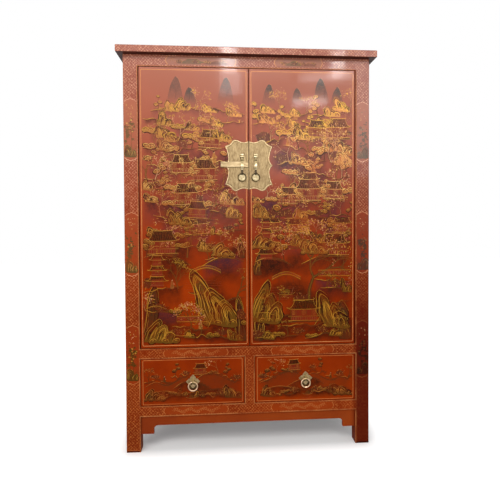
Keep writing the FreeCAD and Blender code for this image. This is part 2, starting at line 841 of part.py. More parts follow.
# Pieces that come in pairs, drawn on the right
pairs = {
    "top_frame_SIDE": top_side_member(),
    "front_SIDE_post": front_post(),
    "back_SIDE_post": back_post(),
    "SIDE_top_rail": side_rail(door_opening_top, body_top),
    "SIDE_bottom_rail": side_rail(underside_height, bottom_rail_top),
    "SIDE_side_panel": side_groove(groove_spare),
    "SIDE_apron": side_apron(),
    "SIDE_door_stile": door_stile(),
    "SIDE_door_panel": door_panel(),
    "SIDE_door_battens": door_battens(),
    "SIDE_lock_plate": lock_plate(),
    "SIDE_lug": door_lug(),
    "SIDE_door_ring": door_ring(),
    "SIDE_drawer_front": drawer_front(),
    "SIDE_drawer_inner_side": drawer_side(drawer_inner),
    "SIDE_drawer_outer_side": drawer_side(drawer_outer - drawer_side_thickness),
    "SIDE_drawer_back": drawer_rear_board(),
    "SIDE_drawer_bottom": drawer_bottom_room(groove_spare),
    "SIDE_drawer_pull": pull_plate(),
    "SIDE_drawer_ring": drawer_ring(),
}
for name, shape in pairs.items():
    pieces[name.replace("SIDE", "right")] = shape
    pieces[name.replace("SIDE", "left")] = mirrored(shape)

for name, shape in pieces.items():
    shape.exportStep("parts/" + name + ".step")
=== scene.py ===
import math
import random

import bpy
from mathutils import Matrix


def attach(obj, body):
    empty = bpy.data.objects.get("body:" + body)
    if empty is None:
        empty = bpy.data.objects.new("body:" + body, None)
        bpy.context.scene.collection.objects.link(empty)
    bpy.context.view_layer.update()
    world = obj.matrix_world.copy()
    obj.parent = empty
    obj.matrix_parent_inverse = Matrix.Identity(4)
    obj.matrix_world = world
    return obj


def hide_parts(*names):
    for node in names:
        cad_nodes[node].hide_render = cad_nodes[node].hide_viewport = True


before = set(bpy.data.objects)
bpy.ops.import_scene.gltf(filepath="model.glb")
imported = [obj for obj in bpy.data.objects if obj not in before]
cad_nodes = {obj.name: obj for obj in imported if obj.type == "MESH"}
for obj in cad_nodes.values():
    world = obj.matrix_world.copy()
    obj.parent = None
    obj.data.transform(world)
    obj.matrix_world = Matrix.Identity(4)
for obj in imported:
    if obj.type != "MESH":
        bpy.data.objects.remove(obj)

# Camera
# It stands a little left of the middle of the cabinet at chest height and looks at it almost
# squarely, as the photographer did. The frame is 500 x 500.
camera_place = (-0.12193, -2.34398, 1.07209)
camera_turn = (1.54848, 0.00395, -0.07636)
film_width, focal_length = 36.0, 32.834
shift_across, shift_up = -0.014367, -0.049506

bpy.ops.object.select_all(action="DESELECT")
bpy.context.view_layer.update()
scene = bpy.context.scene
scene.view_settings.view_transform = "Standard"
bpy.ops.object.camera_add(location=camera_place, rotation=camera_turn)
camera = bpy.context.object
camera.data.sensor_width = film_width
camera.data.lens = focal_length
camera.data.shift_x = shift_across
camera.data.shift_y = shift_up
scene.camera = camera

# Room
# A pale seamless floor runs into a white background. The floor keeps the shadow under and close
# round the cabinet. Further out it glows white, for the camera only.


def plug(tree, value, socket):
    if isinstance(value, bpy.types.NodeSocket):
        tree.links.new(value, socket)
    else:
        socket.default_value = value


def node(tree, kind, *inputs, **named):
    made = tree.nodes.new("ShaderNode" + kind)
    for name, value in named.items():
        if hasattr(made, name):
            setattr(made, name, value)
        else:
            plug(tree, value, made.inputs[name.replace("_", " ")])
    for number, value in enumerate(inputs):
        plug(tree, value, made.inputs[number])
    return made


def work_out(tree, operation, *values):
    return node(tree, "Math", *values, operation=operation).outputs[0]


def dye(code):
    parts = [int(code[i:i + 2], 16) / 255 for i in (0, 2, 4)]
    return tuple(p / 12.92 if p < 0.04045 else ((p + 0.055) / 1.055) ** 2.4 for p in parts) + (1.0,)


def new_material(name):
    material = bpy.data.materials.new(name)
    material.use_nodes = True
    material.node_tree.nodes.clear()
    return material, material.node_tree


def finish_material(tree, shader):
    node(tree, "OutputMaterial", Surface=shader.outputs[0])


def own_place(tree):
    return node(tree, "TexCoord").outputs["Object"]


white = (1.0, 1.0, 1.0, 1.0)
floor_reach = 16.0
shadow_half_width, shadow_half_depth, shadow_fade = 0.53, 0.25, 0.16
glow_in_shadow, glow_outside = 0.15, 0.9
floor_material, tree = new_material("pale_floor")
rays = node(tree, "LightPath")
specks = node(tree, "TexNoise", Scale=6.0, Detail=3.0).outputs["Fac"]
floor_tone = node(tree, "ValToRGB", Fac=specks)
floor_tone.color_ramp.elements[0].color = dye("e9e8e6")
floor_tone.color_ramp.elements[1].color = dye("f0efed")
bare_floor = node(tree, "BsdfDiffuse", Color=floor_tone.outputs["Color"])
spread = node(tree, "VectorMath", own_place(tree), operation="ABSOLUTE").outputs[0]
core = (shadow_half_width, shadow_half_depth, 0.0)
spread = node(tree, "VectorMath", spread, core, operation="SUBTRACT").outputs[0]
spread = node(tree, "VectorMath", spread, (0.0, 0.0, 0.0), operation="MAXIMUM").outputs[0]
away = node(tree, "VectorMath", spread, operation="LENGTH").outputs["Value"]
glow = node(tree, "MapRange", Value=away, From_Min=0.0, From_Max=shadow_fade,
            To_Min=glow_in_shadow, To_Max=glow_outside)
seen_floor = node(tree, "Emission", Color=white, Strength=glow.outputs[0])
both = node(tree, "AddShader", bare_floor.outputs[0], seen_floor.outputs[0])
finish_material(tree, node(tree, "MixShader", rays.outputs["Is Camera Ray"], bare_floor.outputs[0],
                           both.outputs[0]))
bpy.ops.mesh.primitive_plane_add(size=floor_reach, location=(0, 0, 0))
floor = bpy.context.object
floor.name = "floor"
floor.data.materials.append(floor_material)

world = bpy.data.worlds.new("white_room")
scene.world = world
world.use_nodes = True
world.node_tree.nodes.clear()
tree = world.node_tree
rays = node(tree, "LightPath")
daylight = node(tree, "Background", Color=(0.97, 0.98, 1.0, 1.0), Strength=0.45)
blank = node(tree, "Background", Color=white, Strength=1.0)
clear = work_out(tree, "MAXIMUM", rays.outputs["Is Glossy Ray"], rays.outputs["Is Transmission Ray"])
clear = work_out(tree, "MAXIMUM", rays.outputs["Is Camera Ray"], clear)
backdrop = node(tree, "MixShader", clear, daylight.outputs[0], blank.outputs[0])
node(tree, "OutputWorld", Surface=backdrop.outputs[0])

# Lamps
# A wide softbox high in front gives the even light, and a soft lamp fills from each side. The panes
# and hazes behind the camera only show as reflections: pale glints in the upper lacquer and a glare
# round the lock plate.
lit_point = (0.0, -0.2, 1.1)
fill_point = (0.0, -0.2, 0.8)
post_point = (0.35, -0.2, 0.8)
glint_point = (0.0, -0.2, 1.75)
glint_distance = -4.4


def area_lamp(name, place, aim, wide, high, power):
    bpy.ops.object.light_add(type="AREA", location=place)
    lamp = bpy.context.object
    lamp.name = name
    lamp.data.shape = "RECTANGLE"
    lamp.data.size, lamp.data.size_y = wide, high
    lamp.data.energy = power
    way = [a - b for a, b in zip(aim, place)]
    lamp.rotation_euler = (math.atan2(math.hypot(way[0], way[1]), -way[2]), 0.0,
                           math.atan2(-way[0], way[1]))
    return lamp


area_lamp("softbox", (-0.7, -3.4, 3.5), lit_point, 3.2, 1.6, 90.0)
area_lamp("fill", (-2.8, -2.8, 1.3), fill_point, 1.6, 2.2, 40.0)
area_lamp("right_fill", (2.2, -3.2, 0.8), post_point, 1.2, 1.6, 11.0)
for name, x, z, wide, high, power in (("pane_left", -0.03, 3.22, 0.20, 0.40, 34.0),
                                      ("pane_left_low", 0.0, 2.86, 0.28, 0.30, 9.0),
                                      ("pane_right", 1.47, 3.14, 0.17, 0.34, 18.0),
                                      ("pane_streak", 1.33, 2.97, 0.75, 0.10, 10.0),
                                      ("pane_cloud", 1.08, 2.62, 0.46, 0.10, 10.0),
                                      ("pane_post", 1.85, 2.5, 0.30, 1.80, 27.0),
                                      ("pale_wall", 0.85, 1.75, 1.6, 0.9, 17.0),
                                      ("haze_right", 0.68, 1.78, 0.55, 0.42, 6.0),
                                      ("haze_left", -0.2, 1.12, 0.60, 0.46, 7.0)):
    glint = area_lamp(name, (x, glint_distance, z), glint_point, wide, high, power)
    glint.visible_diffuse = False

# Red lacquer
# Posts, rails, doors and boards carry many rubbed coats of red lacquer over clay, a little uneven, with a
# painted sheen that makes them paler towards the top. The frame has a net of fine gold lines and rubbed
# gilt beads. Painted work brings its own colour and leaf in two attributes and shares this ground.
ground_red, deep_red, sheen_red = dye("953203"), dye("782303"), dye("a9654e")
net_gold, bead_gold = dye("d89c7a"), dye("bf7c48")
bead_front = -0.2671
net_scale = 70.0
under_top, under_shade_height = 1.7899, 0.0015


def blend(tree, share, first, second):
    mixed = node(tree, "Mix", data_type="RGBA")
    for value, number in ((share, 0), (first, 6), (second, 7)):
        plug(tree, value, mixed.inputs[number])
    return mixed.outputs[2]


def times(tree, first, second):
    return work_out(tree, "MULTIPLY", first, second)


def scaled(tree, value, factor, offset):
    return work_out(tree, "MULTIPLY_ADD", value, factor, offset)


def step_up(tree, value, low, high):
    return node(tree, "MapRange", Value=value, From_Min=low, From_Max=high,
                interpolation_type="SMOOTHSTEP").outputs[0]


def stretched(tree, place, scale):
    return node(tree, "Mapping", Vector=place, Scale=scale).outputs[0]


def noise(tree, place, scale, detail, **more):
    return node(tree, "TexNoise", Vector=place, Scale=scale, Detail=detail, **more).outputs["Fac"]


def raised(tree, height, strength, distance):
    return node(tree, "Bump", Height=height, Strength=strength, Distance=distance).outputs[0]


def gold_net(tree, place, height, shade, share):
    """Crossing threads of gold with a dot in each mesh, rubbed off in places."""
    axes = node(tree, "SeparateXYZ", place).outputs
    hand = noise(tree, place, 70.0, 2.0)
    level = work_out(tree, "ADD", axes["X"], axes["Y"])
    threads = []
    for way in ("ADD", "SUBTRACT"):
        slant = scaled(tree, work_out(tree, way, level, axes["Z"]), net_scale, hand)
        threads.append(work_out(tree, "PINGPONG", slant, 0.5))
    knots = work_out(tree, "MINIMUM", *threads)
    web = work_out(tree, "MAXIMUM", step_up(tree, knots, 0.14, 0.07), step_up(tree, knots, 0.38, 0.44))
    worn = step_up(tree, noise(tree, place, 24.0, 4.0), 0.20, 0.52)
    spark = step_up(tree, noise(tree, place, 105.0, 2.0), 0.38, 0.58)
    worn = times(tree, worn, scaled(tree, spark, 0.75, 0.25))
    # The net fades out in the painted shade of the right post.
    worn = times(tree, worn, scaled(tree, shade, -0.8, 1.0))
    web = times(tree, times(tree, web, worn), share)
    # Painted sheen: the threads turn paler towards the top.
    return web, blend(tree, step_up(tree, height, 0.5, 1.7), dye("b96a33"), net_gold)


def painted_under_shade(tree, height):
    """Painted shade: a thin dark band on the underside of the overhanging top."""
    return times(tree, work_out(tree, "LESS_THAN", height, under_top),
                 work_out(tree, "GREATER_THAN", height, under_top - under_shade_height))


def rubbed_bead(tree, place):
    """Gilding only on what stands out past the frame's face, and half rubbed away."""
    depth = node(tree, "SeparateXYZ", place).outputs["Y"]
    rub = step_up(tree, noise(tree, place, 16.0, 3.0), 0.35, 0.62)
    return times(tree, work_out(tree, "LESS_THAN", depth, bead_front), scaled(tree, rub, 0.40, 0.12))


def worn_paint(tree, place, cover):
    """The painter's colour, with fine rubbed spots and broad thin places."""
    rubbed = step_up(tree, noise(tree, place, 140.0, 4.0), 0.70, 0.48)
    thin = step_up(tree, noise(tree, place, 11.0, 3.0), 0.32, 0.58)
    wear = times(tree, scaled(tree, rubbed, 0.30, 0.70), scaled(tree, thin, 0.34, 0.66))
    return times(tree, cover, wear)


def lacquer(name, ground=ground_red, deep=deep_red, sheen=sheen_red, net=0.0, beads=False, painted=False):
    material, tree = new_material(name)
    place = own_place(tree)
    cloud = noise(tree, place, 2.6, 5.0, Roughness=0.62)
    brushed = stretched(tree, place, (3.0, 3.0, 30.0))
    colour = blend(tree, step_up(tree, cloud, 0.30, 0.72), deep, ground)
    colour = blend(tree, times(tree, noise(tree, brushed, 2.0, 5.0), 0.22), colour, deep)
    height = node(tree, "SeparateXYZ", place).outputs["Z"]
    # Painted sheen: the lacquer turns paler and pinker towards the top.
    colour = blend(tree, step_up(tree, height, 0.85, 2.0), colour, sheen)
    across = node(tree, "SeparateXYZ", place).outputs["X"]
    # Painted shade: the right-hand post darker from about a metre down.
    shade = times(tree, step_up(tree, across, 0.47, 0.51), step_up(tree, height, 1.02, 0.5))
    colour = blend(tree, shade, colour, dye("541205"))
    gloss = step_up(tree, height, 0.6, 1.7)
    relief = times(tree, noise(tree, place, 160.0, 3.0), 0.12)
    rough = scaled(tree, cloud, 0.16, 0.26)
    metal = 0.0
    if net:
        web, gold = gold_net(tree, place, height, shade, net)
        colour = blend(tree, web, colour, gold)
        relief = work_out(tree, "ADD", relief, times(tree, web, 0.5))
        # Painted shade under the overhanging top.
        colour = blend(tree, painted_under_shade(tree, height), colour, dye("3a130b"))
    if beads:
        colour = blend(tree, rubbed_bead(tree, place), colour, bead_gold)
    if painted:
        paint = node(tree, "Attribute", attribute_name="paint")
        leaf = node(tree, "Attribute", attribute_name="gilt").outputs["Fac"]
        cover = worn_paint(tree, place, paint.outputs["Alpha"])
        colour = blend(tree, cover, colour, paint.outputs["Color"])
        metal = times(tree, leaf, 0.35)
    bump = raised(tree, relief, 0.35, 0.0006)
    shine = scaled(tree, gloss, 0.07, 0.02)
    coat = scaled(tree, gloss, 0.09, 0.01)
    finish_material(tree, node(tree, "BsdfPrincipled", Base_Color=colour, Roughness=rough, Metallic=metal,
                               Specular_IOR_Level=shine, Coat_Weight=coat, Coat_Roughness=0.07,
                               Normal=bump))
    return material


def dress(material, *names):
    for name in names:
        for slot in cad_nodes[name].material_slots:
            slot.material = material


plain_lacquer = lacquer("red_lacquer")
frame_reds = {"ground": dye("882c04"), "deep": dye("6a1d04"), "sheen": dye("935040")}
net_lacquer = lacquer("red_lacquer_with_gold_net", **frame_reds, net=0.85)
framed_lacquer = lacquer("red_lacquer_with_net_and_beads", **frame_reds, net=0.75, beads=True)
apron_lacquer = lacquer("brown_red_lacquer", ground=dye("923e14"), deep=dye("7a2e10"))
painted_lacquer = lacquer("painted_lacquer", painted=True)
dress(net_lacquer, "top_frame_front", "top_frame_left", "top_frame_right", "top_frame_back")
dress(framed_lacquer, "front_left_post", "front_right_post", "front_top_rail", "front_middle_rail",
      "front_bottom_rail", "drawer_divider")
dress(plain_lacquer, "top_panel", "back_left_post", "back_right_post", "back_top_rail",
      "back_bottom_rail", "left_top_rail", "right_top_rail", "left_bottom_rail", "right_bottom_rail",
      "left_side_panel", "right_side_panel", "left_door_stile", "right_door_stile",
      "left_door_panel", "right_door_panel", "left_drawer_front", "right_drawer_front")
dress(apron_lacquer, "front_apron", "left_apron", "right_apron")

# Inside lacquer
# The back panel, shelves, cleats and the doors' battens have one thin matt coat of dark brown
# lacquer, through which the grain of the wood still shows.
lying_boards = ("upper_shelf", "lower_shelf", "compartment_floor", "shelf_cleats", "door_stop",
                "left_door_battens", "right_door_battens", "bottom_board")
for name, drawn_out, boards in (("dark_inside_lacquer", (1.2, 9.0, 9.0), lying_boards),
                                ("dark_back_lacquer", (9.0, 9.0, 1.2), ("back_panel",))):
    inside_material, tree = new_material(name)
    grain = noise(tree, stretched(tree, own_place(tree), drawn_out), 7.0, 7.0, Distortion=0.6)
    colour = blend(tree, step_up(tree, grain, 0.3, 0.7), dye("2c130d"), dye("54271a"))
    bump = raised(tree, grain, 0.25, 0.0008)
    finish_material(tree, node(tree, "BsdfPrincipled", Base_Color=colour, Roughness=0.62, Normal=bump))
    dress(inside_material, *boards)

# Bare wood
# The drawers' sides, backs and bottoms and their runners are plain planed softwood, yellowed with
# age, with long fine grain along the boards.
wood_material, tree = new_material("bare_planed_wood")
drawn = stretched(tree, own_place(tree), (16.0, 1.4, 16.0))
warp = noise(tree, drawn, 2.5, 5.0, Distortion=1.2)
lines = work_out(tree, "SINE", times(tree, warp, 60.0))
fine = noise(tree, drawn, 22.0, 6.0)
share = scaled(tree, lines, 0.22, times(tree, fine, 0.9))
colour = blend(tree, step_up(tree, share, 0.1, 0.8), dye("8a6238"), dye("b88d5a"))
bump = raised(tree, fine, 0.2, 0.0006)
finish_material(tree, node(tree, "BsdfPrincipled", Base_Color=colour, Roughness=0.58, Normal=bump))
dress(wood_material, "drawer_runners",
      *[side + "_drawer_" + board for side in ("left", "right")
        for board in ("inner_side", "outer_side", "back", "bottom")])

# Brass
# Lock plate halves, lugs, bar, pull plates and rings are pale brass. The sheet is scratch brushed
# up and down and has dulled unevenly. Each lug carries painted shade: dark at its eye and duller
# above the bar.
band_edge = 0.002
lug_shade_bands = ((1.2, 1.279, "2e220f"), (1.306, 1.333, "6f6040"))


def brass(name, light, dull, scratch, rough, bands=()):
    material, tree = new_material(name)
    place = own_place(tree)
    fine = noise(tree, stretched(tree, place, scratch), 1.0, 7.0, Roughness=0.7)
    broad = stretched(tree, place, tuple(v ** 0.5 * 4.0 for v in scratch))
    stain, speck = noise(tree, broad, 1.0, 5.0), noise(tree, broad, 2.4, 4.0)
    share = scaled(tree, speck, 0.36, scaled(tree, fine, 0.42, times(tree, stain, 0.26)))
    colour = blend(tree, step_up(tree, share, 0.40, 0.66), dull, light)
    height = node(tree, "SeparateXYZ", place).outputs["Z"]
    # Painted shade: each band darkens the brass across its heights.
    for low, high, tint in bands:
        within = times(tree, step_up(tree, height, low - band_edge, low + band_edge),
                       step_up(tree, height, high + band_edge, high - band_edge))
        colour = blend(tree, within, colour, dye(tint))
    polish = scaled(tree, fine, 0.22, rough)
    bump = raised(tree, fine, 0.30, 0.0003)
    finish_material(tree, node(tree, "BsdfPrincipled", Base_Color=colour, Metallic=0.72, Roughness=polish,
                               Normal=bump))
    return material


sheet_brass = brass("brushed_brass_sheet", dye("8f7a56"), dye("604b2e"), (1500.0, 1500.0, 90.0), 0.36)
bar_brass = brass("brushed_brass_bar", dye("a9936f"), dye("6e5a3a"), (22.0, 500.0, 500.0), 0.32)
pull_brass = brass("rubbed_brass", dye("b59c6e"), dye("6d5a34"), (260.0, 260.0, 260.0), 0.24)
lug_brass = brass("cast_brass", dye("d9c8a2"), dye("9c8a64"), (120.0, 120.0, 120.0), 0.26, lug_shade_bands)
dark_brass = brass("dark_ring_brass", dye("5f4c27"), dye("2c210e"), (150.0, 150.0, 150.0), 0.30)
dress(sheet_brass, "left_lock_plate", "right_lock_plate")
dress(pull_brass, "left_drawer_pull", "right_drawer_pull")
dress(lug_brass, "left_lug", "right_lug")
dress(bar_brass, "lock_bar")

# Rings
# Each ring is bent from round brass wire and hangs in its eye. The doors' rings have darkened,
# the drawers' rings are heavier and rubbed bright by hands. The wire is a little thicker at the foot.
lock_ring, lock_wire, pull_ring, pull_wire = 0.018, 0.0039, 0.0202, 0.0058
thicker_at_foot = 0.06


def hanging_ring(name, body, centre, radius, wire, finish, stands_for):
    bpy.ops.object.select_all(action="DESELECT")
    bpy.ops.mesh.primitive_torus_add(location=(0, 0, 0), rotation=(math.pi / 2, 0, 0), major_radius=radius,
                                     minor_radius=wire / 2, major_segments=64, minor_segments=16)
    made = bpy.context.object
    made.name = name
    bpy.ops.object.transform_apply(location=True, rotation=True, scale=True)
    for point in made.data.vertices:
        low = max(0.0, -point.co.z / radius)
        point.co.y *= 1.0 + thicker_at_foot * low
        point.co = [a + b for a, b in zip(point.co, centre)]
    bpy.ops.object.shade_smooth()
    made.data.materials.append(finish)
    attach(made, body)
    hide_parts(stands_for)


ring_brass = brass("pink_ring_brass", dye("e3bf9d"), dye("b0936a"), (90.0, 90.0, 90.0), 0.2)
for side, way in (("left", -1), ("right", 1)):
    hanging_ring(side + "_lock_ring", side + "_door_ring", (way * 0.031, -0.2743, 1.2437), lock_ring,
                 lock_wire, dark_brass, side + "_door_ring")
    hanging_ring(side + "_pull_ring", side + "_drawer_ring", (way * 0.259, -0.2753, 0.29555), pull_ring,
                 pull_wire, ring_brass, side + "_drawer_ring")

# Painted gardens
# The doors, drawers, sides and frame carry raised lacquer painting: soft washes of lamp black and
# plum, patches of gold powder on thickened lacquer, and raised lines drawn with a fine brush. The
# gardens are made up of the usual motifs: peaks, terraces, rocks, pines, blossom trees, pavilions.
sunk, height_step = 0.15, 0.0004
skin_lift, wash_lift, patch_lift, line_lift = 0.04, 0.06, 0.09, 0.15
layer_rise, turn_rise, golden_turn = 0.005, 0.02, 0.618
kept_past_edge = 0.02
even, steady = (1, 1, 1), (0.8, 1, 0.8)
unpainted = (0.0, 0.0, 0.0, 0.0, 0.0)


def paint(code, cover=1.0, gilt=0.0):
    return dye(code)[:3] + (cover, gilt)


bright_gold, mid_gold = paint("ae8430", 0.95, 1), paint("946a30", 0.88, 0.8)
old_gold, wall_red = paint("84552a", 0.8, 0.8), paint("6e2412", 0.9)
pale_line, rose, ivory = paint("cc8f60", 0.8), paint("b06a44", 0.85), paint("bd8a5c", 0.9)
lamp_black, umber, olive = paint("1c0e06", 0.92), paint("4a2811", 0.9), paint("565026", 0.9)
grey_wash, plum_wash, brown_wash = paint("4e4239"), paint("452026"), paint("381606")


def along(first, last, share):
    return first + (last - first) * share


def through(points, steps=4, closed=False):
    count = len(points)
    path = []
    for i in range(count if closed else count - 1):
        near = [points[(i + k) % count] if closed else points[min(max(i + k, 0), count - 1)]
                for k in (-1, 0, 1, 2)]
        for s in range(steps):
            t = s / steps
            path.append(tuple(0.5 * (2 * b + (c - a) * t + (2 * a - 5 * b + 4 * c - d) * t * t
                                     + (3 * b - a - 3 * c + d) * t ** 3) for a, b, c, d in zip(*near)))
    return path if closed else path + [points[-1]]


class Picture:
    """One painting in millimetres across and up, gathered as closed raised shapes."""

    def __init__(self, seed, left, right, low, high):
        self.spots, self.faces, self.tints = [], [], []
        self.chance = random.Random(seed)
        self.field = (left, right, low, high)
        self.washes, self.taken = [], {}
        self.layer = self.turn = 0

    def begin(self):
        """Each thing lies a little higher than those painted before it."""
        self.layer += layer_rise

    def lift(self, height, path, margin=0.0):
        """Things that cross never lie at one height, since that would leave a black spot."""
        self.turn = (self.turn + golden_turn) % 1.0
        step = int((height + self.layer + self.turn * turn_rise) / height_step)
        left, right = min(x for x, _ in path) - margin, max(x for x, _ in path) + margin
        low, high = min(z for _, z in path) - margin, max(z for _, z in path) + margin
        while any(a < right and b > left and c < high and d > low
                  for a, b, c, d in self.taken.get(step, ())):
            step += 1
        self.taken.setdefault(step, []).append((left, right, low, high))
        return step * height_step

    def outside(self, path):
        """What has its middle off the picture isn't painted."""
        x, z = sum(a for a, _ in path) / len(path), sum(b for _, b in path) / len(path)
        left, right, low, high = self.field
        return not (left < x < right and low < z < high)

    def inside(self, x, z):
        """What reaches past the edge of the picture is pressed back to it."""
        left, right, low, high = self.field
        x = min(max(x, left + (x - left) * kept_past_edge), right + (x - right) * kept_past_edge)
        return x, min(max(z, low + (z - low) * kept_past_edge), high + (z - high) * kept_past_edge)

    def patch(self, outline, tint, height=patch_lift):
        if self.outside(outline):
            return
        outline = [self.inside(x, z) for x, z in outline]
        area = sum(a[0] * b[1] - b[0] * a[1] for a, b in zip(outline, outline[1:] + outline[:1]))
        outline = outline if area > 0 else outline[::-1]
        start, count, top = len(self.spots), len(outline), self.lift(height, outline)
        self.spots += [(x, z, top) for x, z in outline] + [(x, z, -sunk) for x, z in outline]
        self.tints += [tint] * (2 * count)
        self.faces.append(tuple(range(start, start + count)))
        self.faces.append(tuple(range(start + 2 * count - 1, start + count - 1, -1)))
        self.faces += [(start + i, start + count + i, start + count + (i + 1) % count,
                        start + (i + 1) % count) for i in range(count)]

    def line(self, path, width, tint, height=line_lift, swell=(0.45, 1.0, 0.3)):
        """A raised brush line. swell is its share of the width at the start, middle and end."""
        if self.outside(path):
            return
        path = [self.inside(x, z) for x, z in path]
        start, last, top = len(self.spots), len(path) - 1, self.lift(height, path, width)
        for i, (x, z) in enumerate(path):
            (ax, az), (bx, bz) = path[max(i - 1, 0)], path[min(i + 1, last)]
            run = math.hypot(bx - ax, bz - az) or 1.0
            share = 2 * i / last
            half = width / 2 * (along(swell[0], swell[1], share) if share < 1
                                else along(swell[1], swell[2], share - 1))
            ox, oz = (az - bz) / run * half, (bx - ax) / run * half
            self.spots += [(x + ox, z + oz, -sunk), (x + ox * 0.6, z + oz * 0.6, top),
                           (x - ox * 0.6, z - oz * 0.6, top), (x - ox, z - oz, -sunk)]
        self.tints += [tint] * (4 * last + 4)
        for i in range(last):
            a = start + 4 * i
            self.faces += [(a + k, a + (k + 1) % 4, a + 4 + (k + 1) % 4, a + 4 + k) for k in range(4)]
        end = start + 4 * last
        self.faces += [(start, start + 3, start + 2, start + 1), (end, end + 1, end + 2, end + 3)]

    def dot(self, x, z, radius, tint, height=line_lift, corners=6):
        turn = self.chance.random()
        self.patch([(x + radius * math.cos((k + turn) * math.tau / corners),
                     z + radius * math.sin((k + turn) * math.tau / corners)) for k in range(corners)],
                   tint, height)

    def mix_washes(self, low, high, columns, rows):
        """The colour of the washes over each other, at each knot of the skin that they reach."""
        left, right = self.field[:2]
        coats = {}
        for top, drop, tint, cover in self.washes:
            first, last = top[0][0], top[-1][0]
            for c in range(columns + 1):
                x = along(left, right, c / columns)
                if not first < x < last:
                    continue
                k = next(i for i in range(len(top) - 1) if top[i + 1][0] >= x)
                edge = along(top[k][1], top[k + 1][1], (x - top[k][0]) / (top[k + 1][0] - top[k][0]))
                for r in range(rows + 1):
                    z = along(low, high, r / rows)
                    if not edge - drop < z <= edge:
                        continue
                    mottle = 0.86 + 0.14 * math.sin(x * 0.19 + 2.1 * math.sin(z * 0.11 + x * 0.05))
                    share = max(0.0, cover((x - first) / (last - first), (edge - z) / drop))
                    share = share * tint[3] * mottle
                    old = coats.get((c, r), unpainted)
                    total = share + old[3] * (1 - share)
                    if total > 0:
                        coats[c, r] = tuple((t * share + o * old[3] * (1 - share)) / total
                                            for t, o in zip(tint[:3], old)) + (total, 0.0)
        return coats

    def lay_washes(self, low, high, cell=7.5):
        """One thin closed skin from low to high that carries the washes."""
        left, right = self.field[:2]
        columns, rows = int((right - left) / cell), int((high - low) / cell)
        coats = self.mix_washes(low, high, columns, rows)
        start = len(self.spots)
        ring = ([(c, 0) for c in range(columns)] + [(columns, r) for r in range(rows)]
                + [(c, rows) for c in range(columns, 0, -1)] + [(0, r) for r in range(rows, 0, -1)])
        for r in range(rows + 1):
            for c in range(columns + 1):
                self.spots.append((along(left, right, c / columns), along(low, high, r / rows), skin_lift))
                self.tints.append(coats.get((c, r), unpainted))
        wide = columns + 1
        for r in range(rows):
            for c in range(columns):
                a = start + r * wide + c
                self.faces.append((a, a + 1, a + 1 + wide, a + wide))
        under = len(self.spots)
        for c, r in ring:
            self.spots.append((along(left, right, c / columns), along(low, high, r / rows), -sunk))
            self.tints.append(unpainted)
        for k, (c, r) in enumerate(ring):
            m = (k + 1) % len(ring)
            self.faces.append((start + r * wide + c, under + k, under + m,
                               start + ring[m][1] * wide + ring[m][0]))
        self.faces.append(tuple(range(under + len(ring) - 1, under - 1, -1)))

    def wash(self, top, foot, tint, cover):
        """A closed sheet of its own between two edges, for peaks and the low hills of the frame."""
        rows = 5
        start, count, raised = len(self.spots), len(top), self.lift(wash_lift, top + foot)
        for side in (raised, -sunk):
            for r in range(rows + 1):
                for c, (a, b) in enumerate(zip(top, foot)):
                    x, z = along(a[0], b[0], r / rows), along(a[1], b[1], r / rows)
                    self.spots.append((x, z, side))
                    self.tints.append(tint[:3] + (tint[3] * cover(c / (count - 1), r / rows, z), 0.0))

        def at(side, r, c):
            return start + (side * (rows + 1) + r) * count + c

        for r in range(rows):
            for c in range(count - 1):
                self.faces.append((at(0, r, c), at(0, r + 1, c), at(0, r + 1, c + 1), at(0, r, c + 1)))
                self.faces.append((at(1, r, c), at(1, r, c + 1), at(1, r + 1, c + 1), at(1, r + 1, c)))
            self.faces.append((at(0, r, 0), at(1, r, 0), at(1, r + 1, 0), at(0, r + 1, 0)))
            self.faces.append((at(0, r + 1, count - 1), at(1, r + 1, count - 1), at(1, r, count - 1),
                               at(0, r, count - 1)))
        for c in range(count - 1):
            self.faces.append((at(0, 0, c + 1), at(1, 0, c + 1), at(1, 0, c), at(0, 0, c)))
            self.faces.append((at(0, rows, c), at(1, rows, c), at(1, rows, c + 1), at(0, rows, c + 1)))


def hang(picture, name, body, place, finish=painted_lacquer):
    """place turns (across, up, out of the face) in metres into a point of the cabinet."""
    mesh = bpy.data.meshes.new(name)
    mesh.from_pydata([place(x / 1000, z / 1000, h / 1000) for x, z, h in picture.spots], [], picture.faces)
    tints = mesh.attributes.new("paint", "FLOAT_COLOR", "POINT")
    tints.data.foreach_set("color", [v for tint in picture.tints for v in tint[:4]])
    gilt = mesh.attributes.new("gilt", "FLOAT", "POINT")
    gilt.data.foreach_set("value", [tint[4] for tint in picture.tints])
    mesh.materials.append(finish)
    made = bpy.data.objects.new(name, mesh)
    scene.collection.objects.link(made)
    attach(made, body)


# Painted peaks and trees
# Peaks are grey washes that thin out into mist at the foot. Pines carry cushions of needles on a bent
# trunk. Other trees fork freely and end in dots of blossom or in strokes of leaf.


def peak(picture, x, foot, wide, high, lean=0.0):
    picture.begin()
    shares = (-1.0, -0.86, -0.66, -0.44, -0.24, -0.1, 0.08, 0.22, 0.42, 0.62, 0.84, 1.0)
    rise = (0.0, 0.3, 0.62, 0.84, 0.95, 1.0, 0.985, 0.93, 0.78, 0.55, 0.22, 0.0)
    chance = picture.chance
    top = [(x + s * wide / 2 + lean * r, foot + high * r * chance.uniform(0.95, 1.0))
           for s, r in zip(shares, rise)]
    top = through(top, 3)
    picture.wash(top, [(a, foot) for a, _ in top], grey_wash,
                 lambda u, v, z: min(1.0, max(0.0, (z - foot) / high * 1.5 - 0.15)) * 0.95)
    picture.line(top[len(top) // 2:-6], 2.2, pale_line, swell=(1.0, 0.6, 0.2))
    for _ in range(4):
        a = x + wide * chance.uniform(-0.22, 0.2)
        b = foot + high * chance.uniform(0.55, 0.8)
        crease = [(a, b), (a - wide * 0.03, b - high * 0.13), (a - wide * 0.08, b - high * 0.28)]
        picture.line(through(crease), wide * 0.05, paint("3c3230", 0.7), swell=(0.3, 1.0, 0.1))


